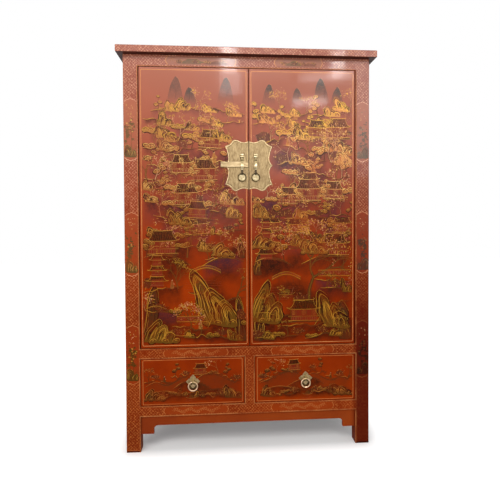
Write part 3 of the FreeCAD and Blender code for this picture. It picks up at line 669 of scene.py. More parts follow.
def pad(picture, x, z, wide, tone, edge, tilt):
    """One lumpy cushion of a pine or a leafy bank, with a dark hollow under its bright rim."""
    count = 9
    lumps = [picture.chance.uniform(0.84, 1.12) for _ in range(count)]

    def at(turn, size, drop=0.0):
        whole = int(turn * count // 1)
        lump = size * along(lumps[whole % count], lumps[(whole + 1) % count], turn * count - whole)
        a, b = math.cos(turn * math.tau) * lump * 0.5, math.sin(turn * math.tau) * lump * 0.34 + 0.22 - drop
        return (x + a * wide, z + (b + tilt * a) * wide)

    for size, drop, tint, lift in ((1.26, 0.07, lamp_black, wash_lift), (1.0, 0.0, tone, patch_lift)):
        outline = [at(k / count, size, drop) for k in range(count)]
        picture.patch(through(outline, 2, closed=True), tint, lift)
    for first, last, size, width, tint in ((-0.03, 0.53, 0.62, 0.20, umber), (0.04, 0.46, 0.30, 0.15, edge),
                                           (-0.05, 0.55, 0.95, 0.13, edge)):
        arc = [at(along(first, last, k / 4), size) for k in range(5)]
        picture.line(through(arc, 2) if size > 0.5 else arc, wide * width, tint, swell=(0.2, 1.1, 0.2))


def tones(z):
    """Brighter leaf high up, duller and browner lower down."""
    if z > 1400:
        return mid_gold, bright_gold, pale_line
    if z > 1120:
        return paint("885a28", 0.88, 0.8), paint("c39650", 0.95, 0.9), paint("d29a6c", 0.85)
    if z > 850:
        return paint("684214", 0.88, 0.8), paint("b48234", 0.94, 0.8), rose
    if z > 450:
        return paint("5c4012", 0.95, 1), paint("b48028", 0.94, 1), paint("a4623a")
    return paint("4c3213", 0.9, 0.7), paint("b0722e", 0.85, 0.6), paint("a8642f", 0.8)


def pine(picture, x, z, high, lean, pads):
    picture.begin()
    chance = picture.chance
    body, edge, _ = tones(z)
    spine = through([(x, z), (x + lean * 0.2, z + high * 0.3), (x + lean * 0.75, z + high * 0.6),
                     (x + lean, z + high)], 4)
    picture.line(spine, high * 0.07, umber, swell=(1.0, 0.7, 0.25))
    for k in range(pads):
        share = along(0.45, 1.0, k / max(pads - 1, 1))
        a, b = spine[int(share * (len(spine) - 1))]
        way = 1 if k % 2 else -1
        c = a + way * high * chance.uniform(0.1, 0.34) * (1.15 - share)
        d = b + high * chance.uniform(-0.06, 0.08)
        picture.line([(a, b - high * 0.06), (along(a, c, 0.6), d - 1), (c, d)], 1.6, umber)
        pad(picture, c, d, high * chance.uniform(0.3, 0.42) * (1.1 - 0.35 * share), body, edge,
            chance.uniform(-0.2, 0.2))


def bough(picture, x, z, angle, length, width, levels, wood, tips):
    chance = picture.chance
    a, b = angle + chance.uniform(-0.3, 0.3), angle + chance.uniform(-0.3, 0.3)
    m = (x + math.cos(a) * length * 0.5, z + math.sin(a) * length * 0.5)
    n = (m[0] + math.cos(b) * length * 0.5, m[1] + math.sin(b) * length * 0.5)
    path = through([(x, z), m, n], 2 if levels < 2 else 3)
    if levels > 1:
        picture.line(path, width * 1.7, umber, patch_lift, (1.0, 0.85, 0.6))
    picture.line(path, width * 0.8, wood, swell=(1.0, 0.85, 0.6))
    if not levels:
        tips.append(n)
        return
    for k in range(2 + (chance.random() < 0.45)):
        start = m if k == 2 else n
        spread = chance.uniform(0.25, 0.75) * (1 if k % 2 else -1)
        bough(picture, start[0], start[1], b + spread, length * chance.uniform(0.62, 0.84), width * 0.64,
              levels - 1, wood, tips)


def tree(picture, x, z, high, lean, levels, leaves):
    picture.begin()
    chance = picture.chance
    body, edge, twig = tones(z)
    tips = []
    wood = twig if leaves == "blossom" and levels < 4 else body
    bough(picture, x, z, math.pi / 2 - lean, high * 0.36, max(2.0, high * 0.045), levels, wood, tips)
    for a, b in tips:
        if leaves == "blossom":
            for _ in range(5):
                picture.dot(a + chance.gauss(0, 7), b + chance.gauss(0, 6), chance.uniform(1.5, 2.8),
                            chance.choice((edge, edge, rose, ivory, twig)), corners=5)
        elif leaves == "leaf":
            for _ in range(5):
                way = chance.uniform(0, math.tau)
                reach = chance.uniform(6, 11)
                picture.line([(a, b), (a + math.cos(way) * reach, b + math.sin(way) * reach * 0.7)], 3.2,
                             chance.choice((body, edge, edge, olive)), swell=(0.4, 1.0, 0.2))


# Painted rocks and ground
# Garden rocks are leaning slabs with low stones at their foot. Tongues of land have an uneven gold
# edge over a dark wash. Grass and ripples are single brush strokes.


def fin(picture, x, z, wide, high, lean, body, edge, dark=lamp_black):
    """One leaning slab of a garden rock, striped with nested arches."""
    picture.begin()
    chance = picture.chance
    drift = wide * chance.uniform(-0.22, 0.22)

    def arch(share, start=0.0):
        path = []
        tall = high * (0.42 + 0.58 * share)
        for k in range(13):
            t = k / 12
            side = -1 if t < 0.5 else 1
            climb = 1 - abs(2 * t - 1)
            climb = start + (1 - start) * climb
            rough = 1 + 0.15 * math.sin(climb * 9 + x + side) + 0.07 * math.sin(climb * 23 + z * side)
            half = wide / 2 * share * (1 - climb ** 2.6) ** 0.5 * rough
            path.append((x + drift * (1 - share) + lean * climb * tall / high + side * half,
                         z + tall * climb))
        return path

    for share, tint, lift in ((1.0, dark, patch_lift), (0.86, body, patch_lift + 0.025)):
        heel = [(x + drift * (1 - share) + wide * share * a, z - wide * share * b)
                for a, b in ((0.41, 0.08), (0.16, 0.15), (-0.14, 0.11), (-0.38, 0.09))]
        picture.patch(through(arch(share) + heel, 2, closed=True), tint, lift)
    step, share = max(0.15, 9.5 / wide), 0.84
    while share > 0.14:
        stroke = through(arch(share, chance.uniform(0.0, 0.25)), 2)
        cut = int(len(stroke) * chance.uniform(0.45, 0.85))
        stroke = stroke[:cut] if chance.random() < 0.62 else stroke[-cut:]
        tint, broad = chance.choice(((dark, 0.6), (dark, 0.5), (umber, 0.5), (edge, 0.34), (edge, 0.26)))
        picture.line(stroke, wide * step * broad, tint, swell=(0.25, 1.2, 0.15))
        share -= step * chance.uniform(0.34, 0.52)
    rim = through(arch(0.97, 0.1), 2)
    picture.line(rim[:int(len(rim) * chance.uniform(0.55, 0.9))], wide * 0.05, edge, swell=(0.2, 1.0, 0.3))


def rock(picture, x, z, wide, high, lean, fins):
    """Leaning slabs side by side, and low stones along the foot of a large one."""
    chance = picture.chance
    body, edge, _ = tones(z)
    for k in range(fins):
        share = k / max(fins - 1, 1)
        middle = x + wide * along(-0.3, 0.3, share) * (1 if chance.random() < 0.8 else 0.4)
        broad = wide * chance.uniform(0.42, 0.6)
        tall = high * along(1.0, 0.5, share) * chance.uniform(0.85, 1.0)
        fin(picture, middle, z - high * 0.03 * k, broad, tall,
            lean * along(1.3, 0.5, share) * chance.uniform(0.8, 1.3), body, edge)
    for share in (-0.46, -0.14, 0.2, 0.5) if wide > 80 else ():
        pad(picture, x + wide * (share + chance.uniform(-0.06, 0.06)), z - wide * 0.07,
            wide * chance.uniform(0.16, 0.26), body, edge, chance.uniform(-0.3, 0.3))


def bank(picture, left, right, z, drop, tint, line=True):
    """A tongue of land: an uneven gold edge over a dark wash that thins out downwards."""
    chance = picture.chance
    count = max(5, int((right - left) / 16))
    tilt = chance.uniform(-0.24, 0.24) * (right - left)
    top = [(along(left, right, k / count), z + tilt * (k / count - 0.5)
            + chance.uniform(-9.0, 9.0) * math.sin(math.pi * k / count)) for k in range(count + 1)]
    top = through(top, 2)
    picture.washes.append((top, drop, tint, lambda u, v: min(1.0, 7 * u, 7 * (1 - u)) * (1 - v) ** 0.8))
    if line:
        body, edge, _ = tones(z)
        cut = len(top) // 2 + chance.randint(-2, 2)
        picture.line([(a, b - 4) for a, b in top], 5.0, umber, wash_lift)
        picture.line(top[:cut], 3.2, edge, swell=(0.3, 1.0, 0.5))
        picture.line(top[cut - 1:], 2.8, body, swell=(0.5, 1.0, 0.2))
    return top


def tuft(picture, x, z, high, tint, blades=5):
    for k in range(blades):
        way = (k - (blades - 1) / 2) / blades
        bow = picture.chance.uniform(0.2, 0.5)
        blade = [(x, z), (x + way * high * bow, z + high * 0.55), (x + way * high * 1.4, z + high)]
        picture.line(through(blade, 2), 2.0, tint, swell=(1.0, 0.8, 0.2))


def ripples(picture, left, right, z, rows, gap):
    chance = picture.chance
    for k in range(rows):
        a = along(left, right, chance.uniform(0.0, 0.35))
        b = along(left, right, chance.uniform(0.6, 1.0))
        crest = [(along(a, b, s / 4), z - k * gap + chance.uniform(-1, 1)) for s in range(5)]
        picture.line(through(crest, 2), 1.6, paint("8a3a1c", 0.8))


# Painted buildings and boats
# Pavilions and pagodas stand on posts and rails under curved tiled roofs. All is drawn in gold lines
# over patches of dull red, as are bridges and fences, and small walkers and boats go with them.


def roof(picture, x, z, wide, high, tilt=0.0):
    body, edge, _ = tones(z)

    def at(a, b):
        return (x + a * wide, z + b * high + tilt * a * wide)

    left = through([at(-0.5, 0.16), at(-0.4, 0.1), at(-0.31, 0.5), at(-0.27, 1.0)], 3)
    right = through([at(0.27, 1.0), at(0.31, 0.5), at(0.4, 0.1), at(0.5, 0.16)], 3)
    eave = through([at(0.5, 0.16), at(0.4, 0.0), at(0.0, -0.05), at(-0.4, 0.0), at(-0.5, 0.16)], 3)
    picture.patch(left + right + eave[1:-1], brown_wash)
    rows = max(4, int(wide / 11))
    for k in range(1, rows):
        share = k / rows
        picture.line([at(along(-0.4, 0.4, share), 0.0), at(along(-0.26, 0.26, share), 0.94)], 1.3, body,
                     swell=even)
    ridge = [at(-0.29, 1.0), at(0, 0.97), at(0.29, 1.0)]
    for path, size in ((eave, 2.6), (left, 2.2), (right, 2.2), (ridge, 3.2)):
        picture.line(path, size, edge, swell=steady)
    for way in (-1, 1):
        horn = [at(way * 0.27, 1.0), at(way * 0.31, 1.12), at(way * 0.26, 1.24)]
        picture.line(through(horn, 2), 2.4, edge)


def pavilion(picture, x, z, wide, high, tilt, bays):
    picture.begin()
    body, edge, twig = tones(z)

    def at(a, b):
        return (x + a * wide, z + b * high + tilt * a * wide)

    picture.patch([at(-0.46, 0), at(0.46, 0), at(0.46, -0.08), at(-0.46, -0.08)], umber)
    picture.patch([at(-0.36, 0.02), at(0.36, 0.02), at(0.36, 0.55), at(-0.36, 0.55)], wall_red)
    for b, size in ((0.0, 2.4), (-0.08, 1.8), (0.16, 1.5), (0.2, 1.3), (0.5, 1.6)):
        picture.line([at(-0.46, b), at(0.46, b)], size, edge if b in (0.0, 0.2) else body, swell=even)
    for k in range(bays + 1):
        a = along(-0.38, 0.38, k / bays)
        picture.line([at(a, 0.0), at(a, 0.56)], 2.3, body, swell=even)
        for m in range(3):
            c = a + 0.76 / bays * (m + 0.5) / 3
            if k < bays:
                picture.line([at(c, 0.02), at(c, 0.17)], 1.1, twig, swell=even)
    for k in range(bays):
        if k % 2 == 0:
            a, b = along(-0.38, 0.38, (k + 0.25) / bays), along(-0.38, 0.38, (k + 0.75) / bays)
            for path in ([at(a, 0.28), at(b, 0.28), at(b, 0.46), at(a, 0.46), at(a, 0.28)],
                         [at((a + b) / 2, 0.28), at((a + b) / 2, 0.46)]):
                picture.line(path, 1.1, edge, swell=even)
    roof(picture, x, z + 0.54 * high, wide, high * 0.42, tilt)


def pagoda(picture, x, z, wide, tiers):
    picture.begin()
    body, edge, twig = tones(z)
    tall = wide * 0.46
    for k in range(tiers):
        size = wide * (1 - 0.15 * k)
        low = z + k * tall
        picture.patch([(x - size * 0.27, low), (x + size * 0.27, low), (x + size * 0.25, low + tall * 0.7),
                       (x - size * 0.25, low + tall * 0.7)], wall_red)
        for m in range(4):
            a = x + size * along(-0.26, 0.26, m / 3)
            picture.line([(a, low), (a, low + tall * 0.6)], 1.5, body, swell=even)
        picture.line([(x - size * 0.3, low + tall * 0.16), (x + size * 0.3, low + tall * 0.16)], 1.3, twig,
                     swell=even)
        roof(picture, x, low + tall * 0.55, size, tall * 0.42)
    top = z + tiers * tall
    picture.line([(x, top), (x, top + tall * 0.8)], 2.4, edge, swell=(1, 0.7, 0.3))
    for k in range(3):
        picture.dot(x, top + tall * (0.15 + 0.16 * k), 2.8 - 0.5 * k, edge)


def bridge(picture, left, right, z, rise):
    picture.begin()
    body, edge, twig = tones(z)
    count = max(6, int((right - left) / 14))

    def deck(share, up):
        return (along(left, right, share), z + up + rise * math.sin(math.pi * share))

    for up, size, tint in ((0, 3.0, edge), (-5, 2.0, body), (11, 1.8, edge), (6, 1.2, twig)):
        picture.line([deck(k / count, up) for k in range(count + 1)], size, tint, swell=steady)
    for k in range(count + 1):
        picture.line([deck(k / count, 0), deck(k / count, 13)], 1.6, body, swell=even)
    for share in (0.25, 0.5, 0.75):
        a, b = deck(share, -5)
        picture.line([(a, b), (a, z - 14)], 2.2, umber, swell=even)


def fence(picture, left, right, z, tilt):
    picture.begin()
    body, edge, _ = tones(z)
    count = max(3, int((right - left) / 12))

    def at(share, up):
        return (along(left, right, share), z + up + tilt * (right - left) * share)

    for up in (3, 9, 15):
        picture.line([at(0, up), at(1, up)], 1.5, body, swell=even)
    for k in range(count + 1):
        picture.line([at(k / count, 0), at(k / count, 17)], 1.7, edge, swell=even)


def walker(picture, x, z, high, robe, sash, way=1):
    """A small robed walker without a drawn face, as painters of such cabinets put on every path."""
    picture.begin()

    def at(a, b):
        return (x + way * a * high, z + b * high)

    picture.patch(through([at(-0.17, 0.0), at(-0.13, 0.4), at(-0.1, 0.72), at(0.08, 0.74), at(0.15, 0.4),
                           at(0.2, 0.02)], 2, closed=True), robe)
    picture.patch(through([at(-0.04, 0.68), at(0.16, 0.56), at(0.28, 0.4), at(0.16, 0.38), at(0.0, 0.5)], 2,
                          closed=True), sash)
    picture.line([at(-0.1, 0.3), at(0.14, 0.32)], 1.6, umber, swell=even)
    picture.line(through([at(0.06, 0.7), at(0.02, 0.35), at(0.08, 0.04)], 2), 1.5, umber)
    picture.dot(x + way * 0.01 * high, z + 0.82 * high, high * 0.075, paint("c08a5c"), corners=8)
    picture.dot(x - way * 0.02 * high, z + 0.88 * high, high * 0.06, lamp_black, line_lift + 0.05,
                corners=8)


def boat(picture, x, z, wide):
    picture.begin()
    body, edge, twig = tones(z)

    def at(a, b):
        return (x + a * wide, z + b * wide)

    hull = through([at(-0.5, 0.1), at(-0.3, 0.0), at(0.1, -0.02), at(0.4, 0.03), at(0.5, 0.14)], 3)
    rail = through([at(0.5, 0.14), at(0.2, 0.08), at(-0.2, 0.07), at(-0.5, 0.1)], 2)
    awning = [at(-0.18, 0.08), at(-0.15, 0.24), at(0.05, 0.3), at(0.2, 0.22), at(0.22, 0.08)]
    picture.patch(hull + rail[1:-1], umber)
    picture.line(hull, 2.0, edge)
    picture.patch(through(awning, 2), body)
    picture.line([at(0.3, 0.05), at(0.42, 0.42)], 1.5, twig, swell=(1, 1, 0.5))
    ripples(picture, x - wide * 0.7, x + wide * 0.7, z - 6, 3, 5.0)


# Painted woods and terraces
# Thickets, long garden walls and ridges fill the ground between the larger things. A garden is one
# tongue of land with several things set out along it.


def thicket(picture, x, z, wide, high, count=36):
    """A bush or a wood's edge, dabbed in short strokes over a dark ground."""
    picture.begin()
    chance = picture.chance
    body, edge, twig = tones(z)
    middle = z + high / 2
    rim = []
    for k in range(14):
        way, far = k * math.tau / 14, chance.uniform(0.62, 1.0)
        rim.append((x + math.cos(way) * far * wide / 2, middle + math.sin(way) * far * high / 2))
    picture.patch(through(rim, 2, closed=True), paint("3d2312", 0.75), wash_lift)
    for _ in range(count):
        way, far = chance.uniform(0, math.tau), chance.random() ** 0.6
        a, b = x + math.cos(way) * far * wide / 2, middle + math.sin(way) * far * high / 2
        lean = math.pi / 2 + (x - a) / wide * 2.2 + chance.uniform(-0.5, 0.5)
        reach = chance.uniform(4, 8)
        picture.line([(a, b), (a + math.cos(lean) * reach, b + math.sin(lean) * reach)],
                     chance.uniform(2.4, 3.6), chance.choice((body, edge, edge, twig, olive, umber)),
                     swell=(0.5, 1.0, 0.4))


def terrace(picture, left, right, z, high):
    """A long garden wall with a pierced lattice and a paved edge."""
    picture.begin()
    body, edge, twig = tones(z)
    picture.patch([(left, z), (right, z), (right, z + high), (left, z + high)], paint("6a2310", 0.85))
    for up, size, tint in ((0, 2.6, edge), (-5, 1.6, body), (high, 2.4, edge), (high * 0.8, 1.2, twig)):
        picture.line([(along(left, right, k / 6), z + up) for k in range(7)], size, tint,
                     swell=(0.7, 1, 0.7))
    count = max(2, int((right - left) / 34))
    for k in range(count + 1):
        a = along(left, right, k / count)
        picture.line([(a, z), (a, z + high)], 2.0, body, swell=even)
        if k < count:
            b = a + (right - left) / count
            crossed = [(a + 5, z + 4), (b - 5, z + high * 0.7)], [(a + 5, z + high * 0.7), (b - 5, z + 4)]
            upright = [((a + b) / 2, z + 3), ((a + b) / 2, z + high * 0.75)]
            for path in (*crossed, upright):
                picture.line(path, 1.2, twig, swell=even)


def slope(picture, points, drop, tint, size=1.0):
    """A ridge that falls across the picture, with a wash of shadow under it."""
    picture.begin()
    body, edge, _ = tones(points[0][1])
    top = through(points, 5)
    picture.washes.append((top, drop, tint, lambda u, v: min(1.0, 6 * u, 6 * (1 - u)) * (1 - v) ** 0.7))
    picture.line([(a, b - 4) for a, b in top], 6.0, umber, wash_lift)
    cut = int(len(top) * picture.chance.uniform(0.3, 0.7))
    picture.line(top[:cut], 3.4 * size, edge, swell=(0.2, 1.0, 0.2))
    picture.line(top[cut - 2:], 2.4 * size, body, swell=(0.3, 1.0, 0.2))
    picture.line([(a, b - 7) for a, b in top[len(top) // 4:-2]], 1.8 * size, body)


def garden(picture, left, right, z, size, drop, tint, kinds):
    """Kinds are letters: p pine, r rock, t blossom tree, l leafy tree, g grass, f fence, h pavilion,
    n three cushions, k thicket, T garden wall, w walker."""
    chance = picture.chance
    top = bank(picture, left, right, z, drop, tint)
    for k, kind in enumerate(kinds):
        share = (k + chance.uniform(0.3, 0.7)) / len(kinds)
        x, base = top[int(share * (len(top) - 1))]
        base -= 3
        body, edge, twig = tones(z)
        if kind == "p":
            pine(picture, x, base, 66 * size * chance.uniform(0.8, 1.15), chance.uniform(-22, 22) * size,
                 chance.randint(3, 5))
        elif kind == "r":
            rock(picture, x, base - 4, 60 * size, 46 * size * chance.uniform(0.7, 1.2),
                 chance.uniform(-14, 14), 2 + (size > 0.9))
        elif kind == "t":
            tree(picture, x, base, 88 * size, chance.uniform(-0.3, 0.3), 3, "blossom")
        elif kind == "l":
            tree(picture, x, base, 82 * size, chance.uniform(-0.3, 0.3), 3, "leaf")
        elif kind == "g":
            tuft(picture, x, base, 17 * size, edge)
            tuft(picture, x + 12 * size, base, 12 * size, twig, 4)
        elif kind == "f":
            fence(picture, x - 30 * size, x + 30 * size, base + 2, chance.uniform(-0.15, 0.15))
        elif kind == "h":
            pavilion(picture, x, base + 7, 96 * size, 72 * size, chance.uniform(-0.06, 0.06),
                     3 + (size > 0.9))
        elif kind == "n":
            for m in range(3):
                pad(picture, x + (m - 1) * 17 * size, base + chance.uniform(0, 10), 24 * size, body, edge,
                    chance.uniform(-0.3, 0.3))
        elif kind == "k":
            thicket(picture, x, base + 3, 62 * size, 34 * size)
        elif kind == "T":
            terrace(picture, x - 48 * size, x + 48 * size, base - 14, 20 * size)
        elif kind == "w":
            walker(picture, x, base, 40 * size, body, chance.choice((ivory, rose, mid_gold)),
                   chance.choice((-1, 1)))


def gold_border(picture, left, right, low, high, radius, tint):
    """A closed raised line round a whole picture, a little outside its field."""
    corners = [(right - radius, high - radius, 0), (left + radius, high - radius, 1),
               (left + radius, low + radius, 2), (right - radius, low + radius, 3)]
    loop = []
    for a, b, quarter in corners:
        for s in range(6):
            turn = (quarter + s / 5) * math.pi / 2
            loop.append((a + radius * math.cos(turn), b + radius * math.sin(turn)))
    field, picture.field = picture.field, (left - 9, right + 9, low - 9, high + 9)
    picture.line(loop + loop[:1], 3.0, tint, swell=even)
    picture.field = field


# Door paintings
# Each door has a thin raised gold line with rounded corners just inside its edge, and a garden of
# terraces that climbs from dark rocks and water at the foot to misty peaks under the top.
face = -0.266
door_inner, door_outer = 16, 477
door_foot, door_join, door_top = 488, 1020, 1718
far_foot, near_top = 1000, 1060
border_inner, border_outer, border_foot, border_top = 11.0, 482.3, 482.5, 1723.5
plate_reach, plate_foot, plate_top = 104, 1176, 1420
border_gold = paint("cf8a50", 0.95, 0.4)
foot_gold = paint("b8703a", 0.95, 0.4)
far_menu = ("r", "nr", "pr", "tg", "rt", "nrt")
middle_menu = ("phl", "ltp", "tkr", "wpl", "nkp", "ktl", "Tnk", "rkp", "lhk", "ktr", "nlr", "plk", "rtn")


def on_front(x, z, h):
    return (x, face - h, z)


def climb(picture, high, low, step, size, drop, menu, tint, bare=()):
    """Rows of terraces from high down to low, but none behind bare: left, right, low and high."""
    left, right = picture.field[0] + 2, picture.field[1] - 2
    chance = picture.chance
    z, row = high, 0
    while z > low:
        x = left + (0 if row % 2 else chance.uniform(10, 50))
        while x < right - 46:
            reach = chance.uniform(86, 165)
            level = z + chance.uniform(-0.28, 0.28) * step
            end = min(x + reach, right)
            hidden = bare and bare[0] < (x + end) / 2 < bare[1] and bare[2] < level < bare[3]
            if not hidden:
                garden(picture, x, end, level, size * chance.uniform(0.8, 1.25),
                       drop * chance.uniform(0.5, 1.2),
                       chance.choice((tint, lamp_black, plum_wash))[:3] + (chance.uniform(0.3, 0.9), 0),
                       chance.choice(menu))
            x += reach * chance.uniform(0.80, 1.08)
        z -= step
        row += 1


def crags(picture, places):
    """Tall dark rocks at the edges of the picture, in deep shadow."""
    for x, z, wide, high, lean in places:
        left, right = picture.field[:2]
        start, end = max(x - 1.6 * wide, left - 30), min(x + 1.6 * wide, right + 30)
        bank(picture, start, end, z + 0.5 * high, 0.8 * high, lamp_black, line=False)
        fin(picture, x, z, wide, high, lean, paint("3b2712", 0.95, 0.4), tones(z)[1])


def share_washes(side, far, near):
    """The two halves of a door meet at one height and their washes run on from one to the other."""
    far.washes = near.washes = far.washes + near.washes
    far.lay_washes(door_join, door_top)
    near.lay_washes(door_foot, door_join)
    hang(far, side + "_door_far_garden", side + "_door", on_front)
    hang(near, side + "_door_near_garden", side + "_door", on_front)


def mist(picture, count, low, high, tint):
    """Broad soft clouds of thin colour behind everything."""
    chance = picture.chance
    left, right = picture.field[:2]
    for _ in range(count):
        x, z = chance.uniform(left + 60, right - 60), chance.uniform(low, high)
        wide, drop = chance.uniform(90, 200), chance.uniform(70, 150)
        top = []
        for s in range(7):
            share = s / 6 - 0.5
            top.append((x + wide * share, z - abs(share) * drop * 0.5 + chance.uniform(-8, 8)))
        picture.washes.append((through(top, 2), drop, tint,
                               lambda u, v: 4 * u * (1 - u) * 4 * v * (1 - v) * 0.9))


def far_garden(seed, way, peaks, hills_top, terraces_top):
    """The upper half of a door: its border, peaks in mist, and terraces down to half way."""
    far = Picture(seed, *sorted((way * door_inner, way * door_outer)), far_foot, door_top)
    gold_border(far, *sorted((way * border_inner, way * border_outer)), border_foot, border_top, 7.0,
                border_gold)
    for x, foot, wide, high, lean in peaks:
        peak(far, x, foot, wide, high, lean)
    mist(far, 9, 1060, 1420, plum_wash)
    plate = (*sorted((0, way * plate_reach)), plate_foot, plate_top)
    climb(far, hills_top, 1450, 56, 1.1, 34, far_menu, plum_wash, plate)
    climb(far, terraces_top, 1010, 60, 1.2, 62, middle_menu, brown_wash, plate)
    return far


def near_garden(seed, way, rocks, terraces_top):
    """The lower half of a door, as far as its last terraces. The rest is set out piece by piece."""
    near = Picture(seed, *sorted((way * door_inner, way * door_outer)), door_foot, near_top)
    crags(near, rocks)
    mist(near, 10, 560, 1000, brown_wash)
    climb(near, terraces_top, 900, 50, 1.0, 66, middle_menu, brown_wash)
    return near


# The left door, set out from the far things to the near ones
left_peaks = ((-330, 1552, 84, 146, 6), (-262, 1548, 70, 104, -4), (-104, 1562, 84, 134, 4))
left_crags = ((-38, 500, 46, 210, -14), (-450, 540, 60, 230, 26), (-34, 880, 34, 84, -8))
far_left = far_garden(11, -1, left_peaks, 1540, 1424)
near_left = near_garden(12, -1, left_crags, 990)
slope(near_left, [(-474, 884), (-400, 902), (-330, 884), (-262, 846)], 90, lamp_black)
pavilion(near_left, -392, 900, 158, 108, 0.02, 5)
tree(near_left, -282, 880, 170, 0.18, 4, "blossom")
pine(near_left, -462, 884, 100, 14, 4)
slope(near_left, [(-220, 838), (-160, 872), (-90, 884), (-24, 862)], 80, plum_wash)
garden(near_left, -200, -22, 884, 1.0, 50, plum_wash, "lkrt")
bridge(near_left, -262, -130, 812, 22)
bank(near_left, -474, -296, 742, 96, lamp_black)
pagoda(near_left, -416, 750, 104, 3)
thicket(near_left, -460, 738, 60, 54)
walker(near_left, -350, 742, 46, old_gold, rose)
tree(near_left, -322, 740, 138, -0.2, 4, "leaf")
ripples(near_left, -300, -110, 776, 8, 8)
boat(near_left, -236, 716, 84)
slope(near_left, [(-190, 560), (-150, 640), (-90, 690), (-22, 700)], 130, lamp_black)
tree(near_left, -58, 690, 150, 0.25, 4, "leaf")
rock(near_left, -112, 584, 170, 250, -64, 3)
thicket(near_left, -40, 588, 60, 60)
slope(near_left, [(-474, 648), (-420, 664), (-350, 636), (-290, 604)], 90, brown_wash)
garden(near_left, -474, -318, 636, 1.05, 60, plum_wash, "tkn")
terrace(near_left, -330, -206, 590, 24)
bank(near_left, -350, -180, 560, 60, brown_wash)
tree(near_left, -268, 556, 120, -0.15, 4, "blossom")
walker(near_left, -222, 556, 48, mid_gold, rose, -1)
rock(near_left, -412, 506, 140, 110, 30, 3)
garden(near_left, -350, -30, 520, 1.05, 30, lamp_black, "krlnkr")
rock(near_left, -120, 892, 90, 60, 12, 3)
share_washes("left", far_left, near_left)

# The right door, in the same order
right_peaks = ((92, 1560, 70, 110, 4), (226, 1566, 62, 88, -3), (338, 1552, 86, 150, -6),
               (408, 1556, 70, 104, 2))
right_crags = ((42, 500, 52, 160, 12), (446, 500, 66, 180, -18), (38, 800, 36, 96, 8))
far_right = far_garden(29, 1, right_peaks, 1544, 1426)
near_right = near_garden(31, 1, right_crags, 992)
slope(near_right, [(22, 856), (80, 876), (150, 868), (200, 838)], 90, lamp_black)
pagoda(near_right, 78, 868, 104, 4)
pine(near_right, 160, 862, 100, -18, 4)
slope(near_right, [(240, 846), (320, 880), (400, 886), (474, 872)], 80, brown_wash)
pavilion(near_right, 396, 888, 148, 102, -0.03, 4)
bridge(near_right, 104, 236, 776, 24)
ripples(near_right, 40, 240, 740, 8, 8)
boat(near_right, 170, 706, 82)
tree(near_right, 276, 668, 330, 0.04, 5, "blossom")
terrace(near_right, 320, 472, 790, 26)
bank(near_right, 300, 474, 770, 80, plum_wash)
garden(near_right, 330, 474, 730, 1.0, 66, brown_wash, "lkw")
bank(near_right, 200, 380, 676, 70, lamp_black)
thicket(near_right, 240, 664, 90, 44)
rock(near_right, 70, 590, 136, 206, 40, 3)
slope(near_right, [(300, 560), (360, 640), (420, 668), (474, 676)], 110, lamp_black)
rock(near_right, 418, 560, 140, 170, -34, 3)
bank(near_right, 22, 206, 616, 90, lamp_black)
tree(near_right, 142, 612, 130, -0.2, 4, "leaf")
pavilion(near_right, 252, 584, 160, 100, 0.0, 5)
bank(near_right, 150, 400, 566, 70, brown_wash)
garden(near_right, 22, 250, 514, 1.05, 30, lamp_black, "krnlk")
garden(near_right, 256, 474, 520, 1.0, 34, brown_wash, "nkrl")
rock(near_right, 62, 926, 96, 74, 16, 3)
rock(near_right, 300, 900, 104, 70, -14, 3)
rock(near_right, 452, 716, 60, 70, -10, 2)
share_washes("right", far_right, near_right)

# Drawer paintings
# Each drawer front carries the same gold line and one long low shore with dark hills behind it,
# painted in the same raised lacquer as the doors.
grey_brown = paint("4c2a12", 0.6)
drawer_inner, drawer_outer, shore_length = 30.0, 488.0, 440
shore_foot, shore_top = 222, 410
shore_things = ((-0.44, 318, 0.85, "l"), (-0.36, 326, 0.7, "k"), (-0.27, 318, 0.75, "w"),
                (-0.17, 340, 0.85, "p"), (-0.08, 348, 0.6, "k"), (0.1, 350, 0.7, "h"),
                (0.2, 354, 0.7, "n"), (0.28, 346, 0.9, "t"), (0.36, 330, 0.85, "p"), (0.44, 314, 0.8, "k"))


def shore_painting(side, way, seed):
    """The right drawer's shore is laid out as the left one's mirror image."""
    left, right = sorted((way * drawer_inner, way * drawer_outer))
    shore = Picture(seed, left + 8, right - 8, shore_foot, shore_top)
    gold_border(shore, left + 4.5, right - 4.5, 215.0, 416.5, 5.0, foot_gold)

    def across(share):
        return (left + right) / 2 - way * share * shore_length

    def hill(shares, heights, drop, tint):
        slope(shore, sorted((across(a), b) for a, b in zip(shares, heights)), drop, tint, 0.75)

    hill((-0.49, -0.38, -0.26, -0.1, -0.02), (296, 318, 306, 338, 330), 96, grey_brown)
    hill((-0.2, -0.08, 0.06, 0.2), (286, 318, 310, 280), 80, brown_wash)
    hill((0.02, 0.14, 0.26, 0.36, 0.49), (322, 352, 344, 322, 300), 110, grey_brown)
    hill((-0.49, -0.3, -0.1, 0.1, 0.3, 0.49), (262, 276, 262, 272, 282, 262), 50, brown_wash)
    for share, z, size, kind in shore_things:
        x = across(share)
        garden(shore, x - 26, x + 26, z, size, 10, brown_wash, kind)
    rock(shore, across(-0.4), 238, 84, 52, -way * 12, 3)
    garden(shore, *sorted((across(-0.34), across(-0.06))), 252, 0.8, 20, lamp_black, "knr")
    rock(shore, across(0.42), 240, 76, 58, way * 12, 3)
    garden(shore, *sorted((across(0.05), across(0.36))), 248, 0.8, 20, lamp_black, "rnk")
    boat(shore, across(-0.02), 240, 50)
    shore.lay_washes(shore_foot, shore_top)
    hang(shore, side + "_drawer_painting", side + "_drawer", on_front)


shore_painting("left", -1, 41)
shore_painting("right", 1, 43)
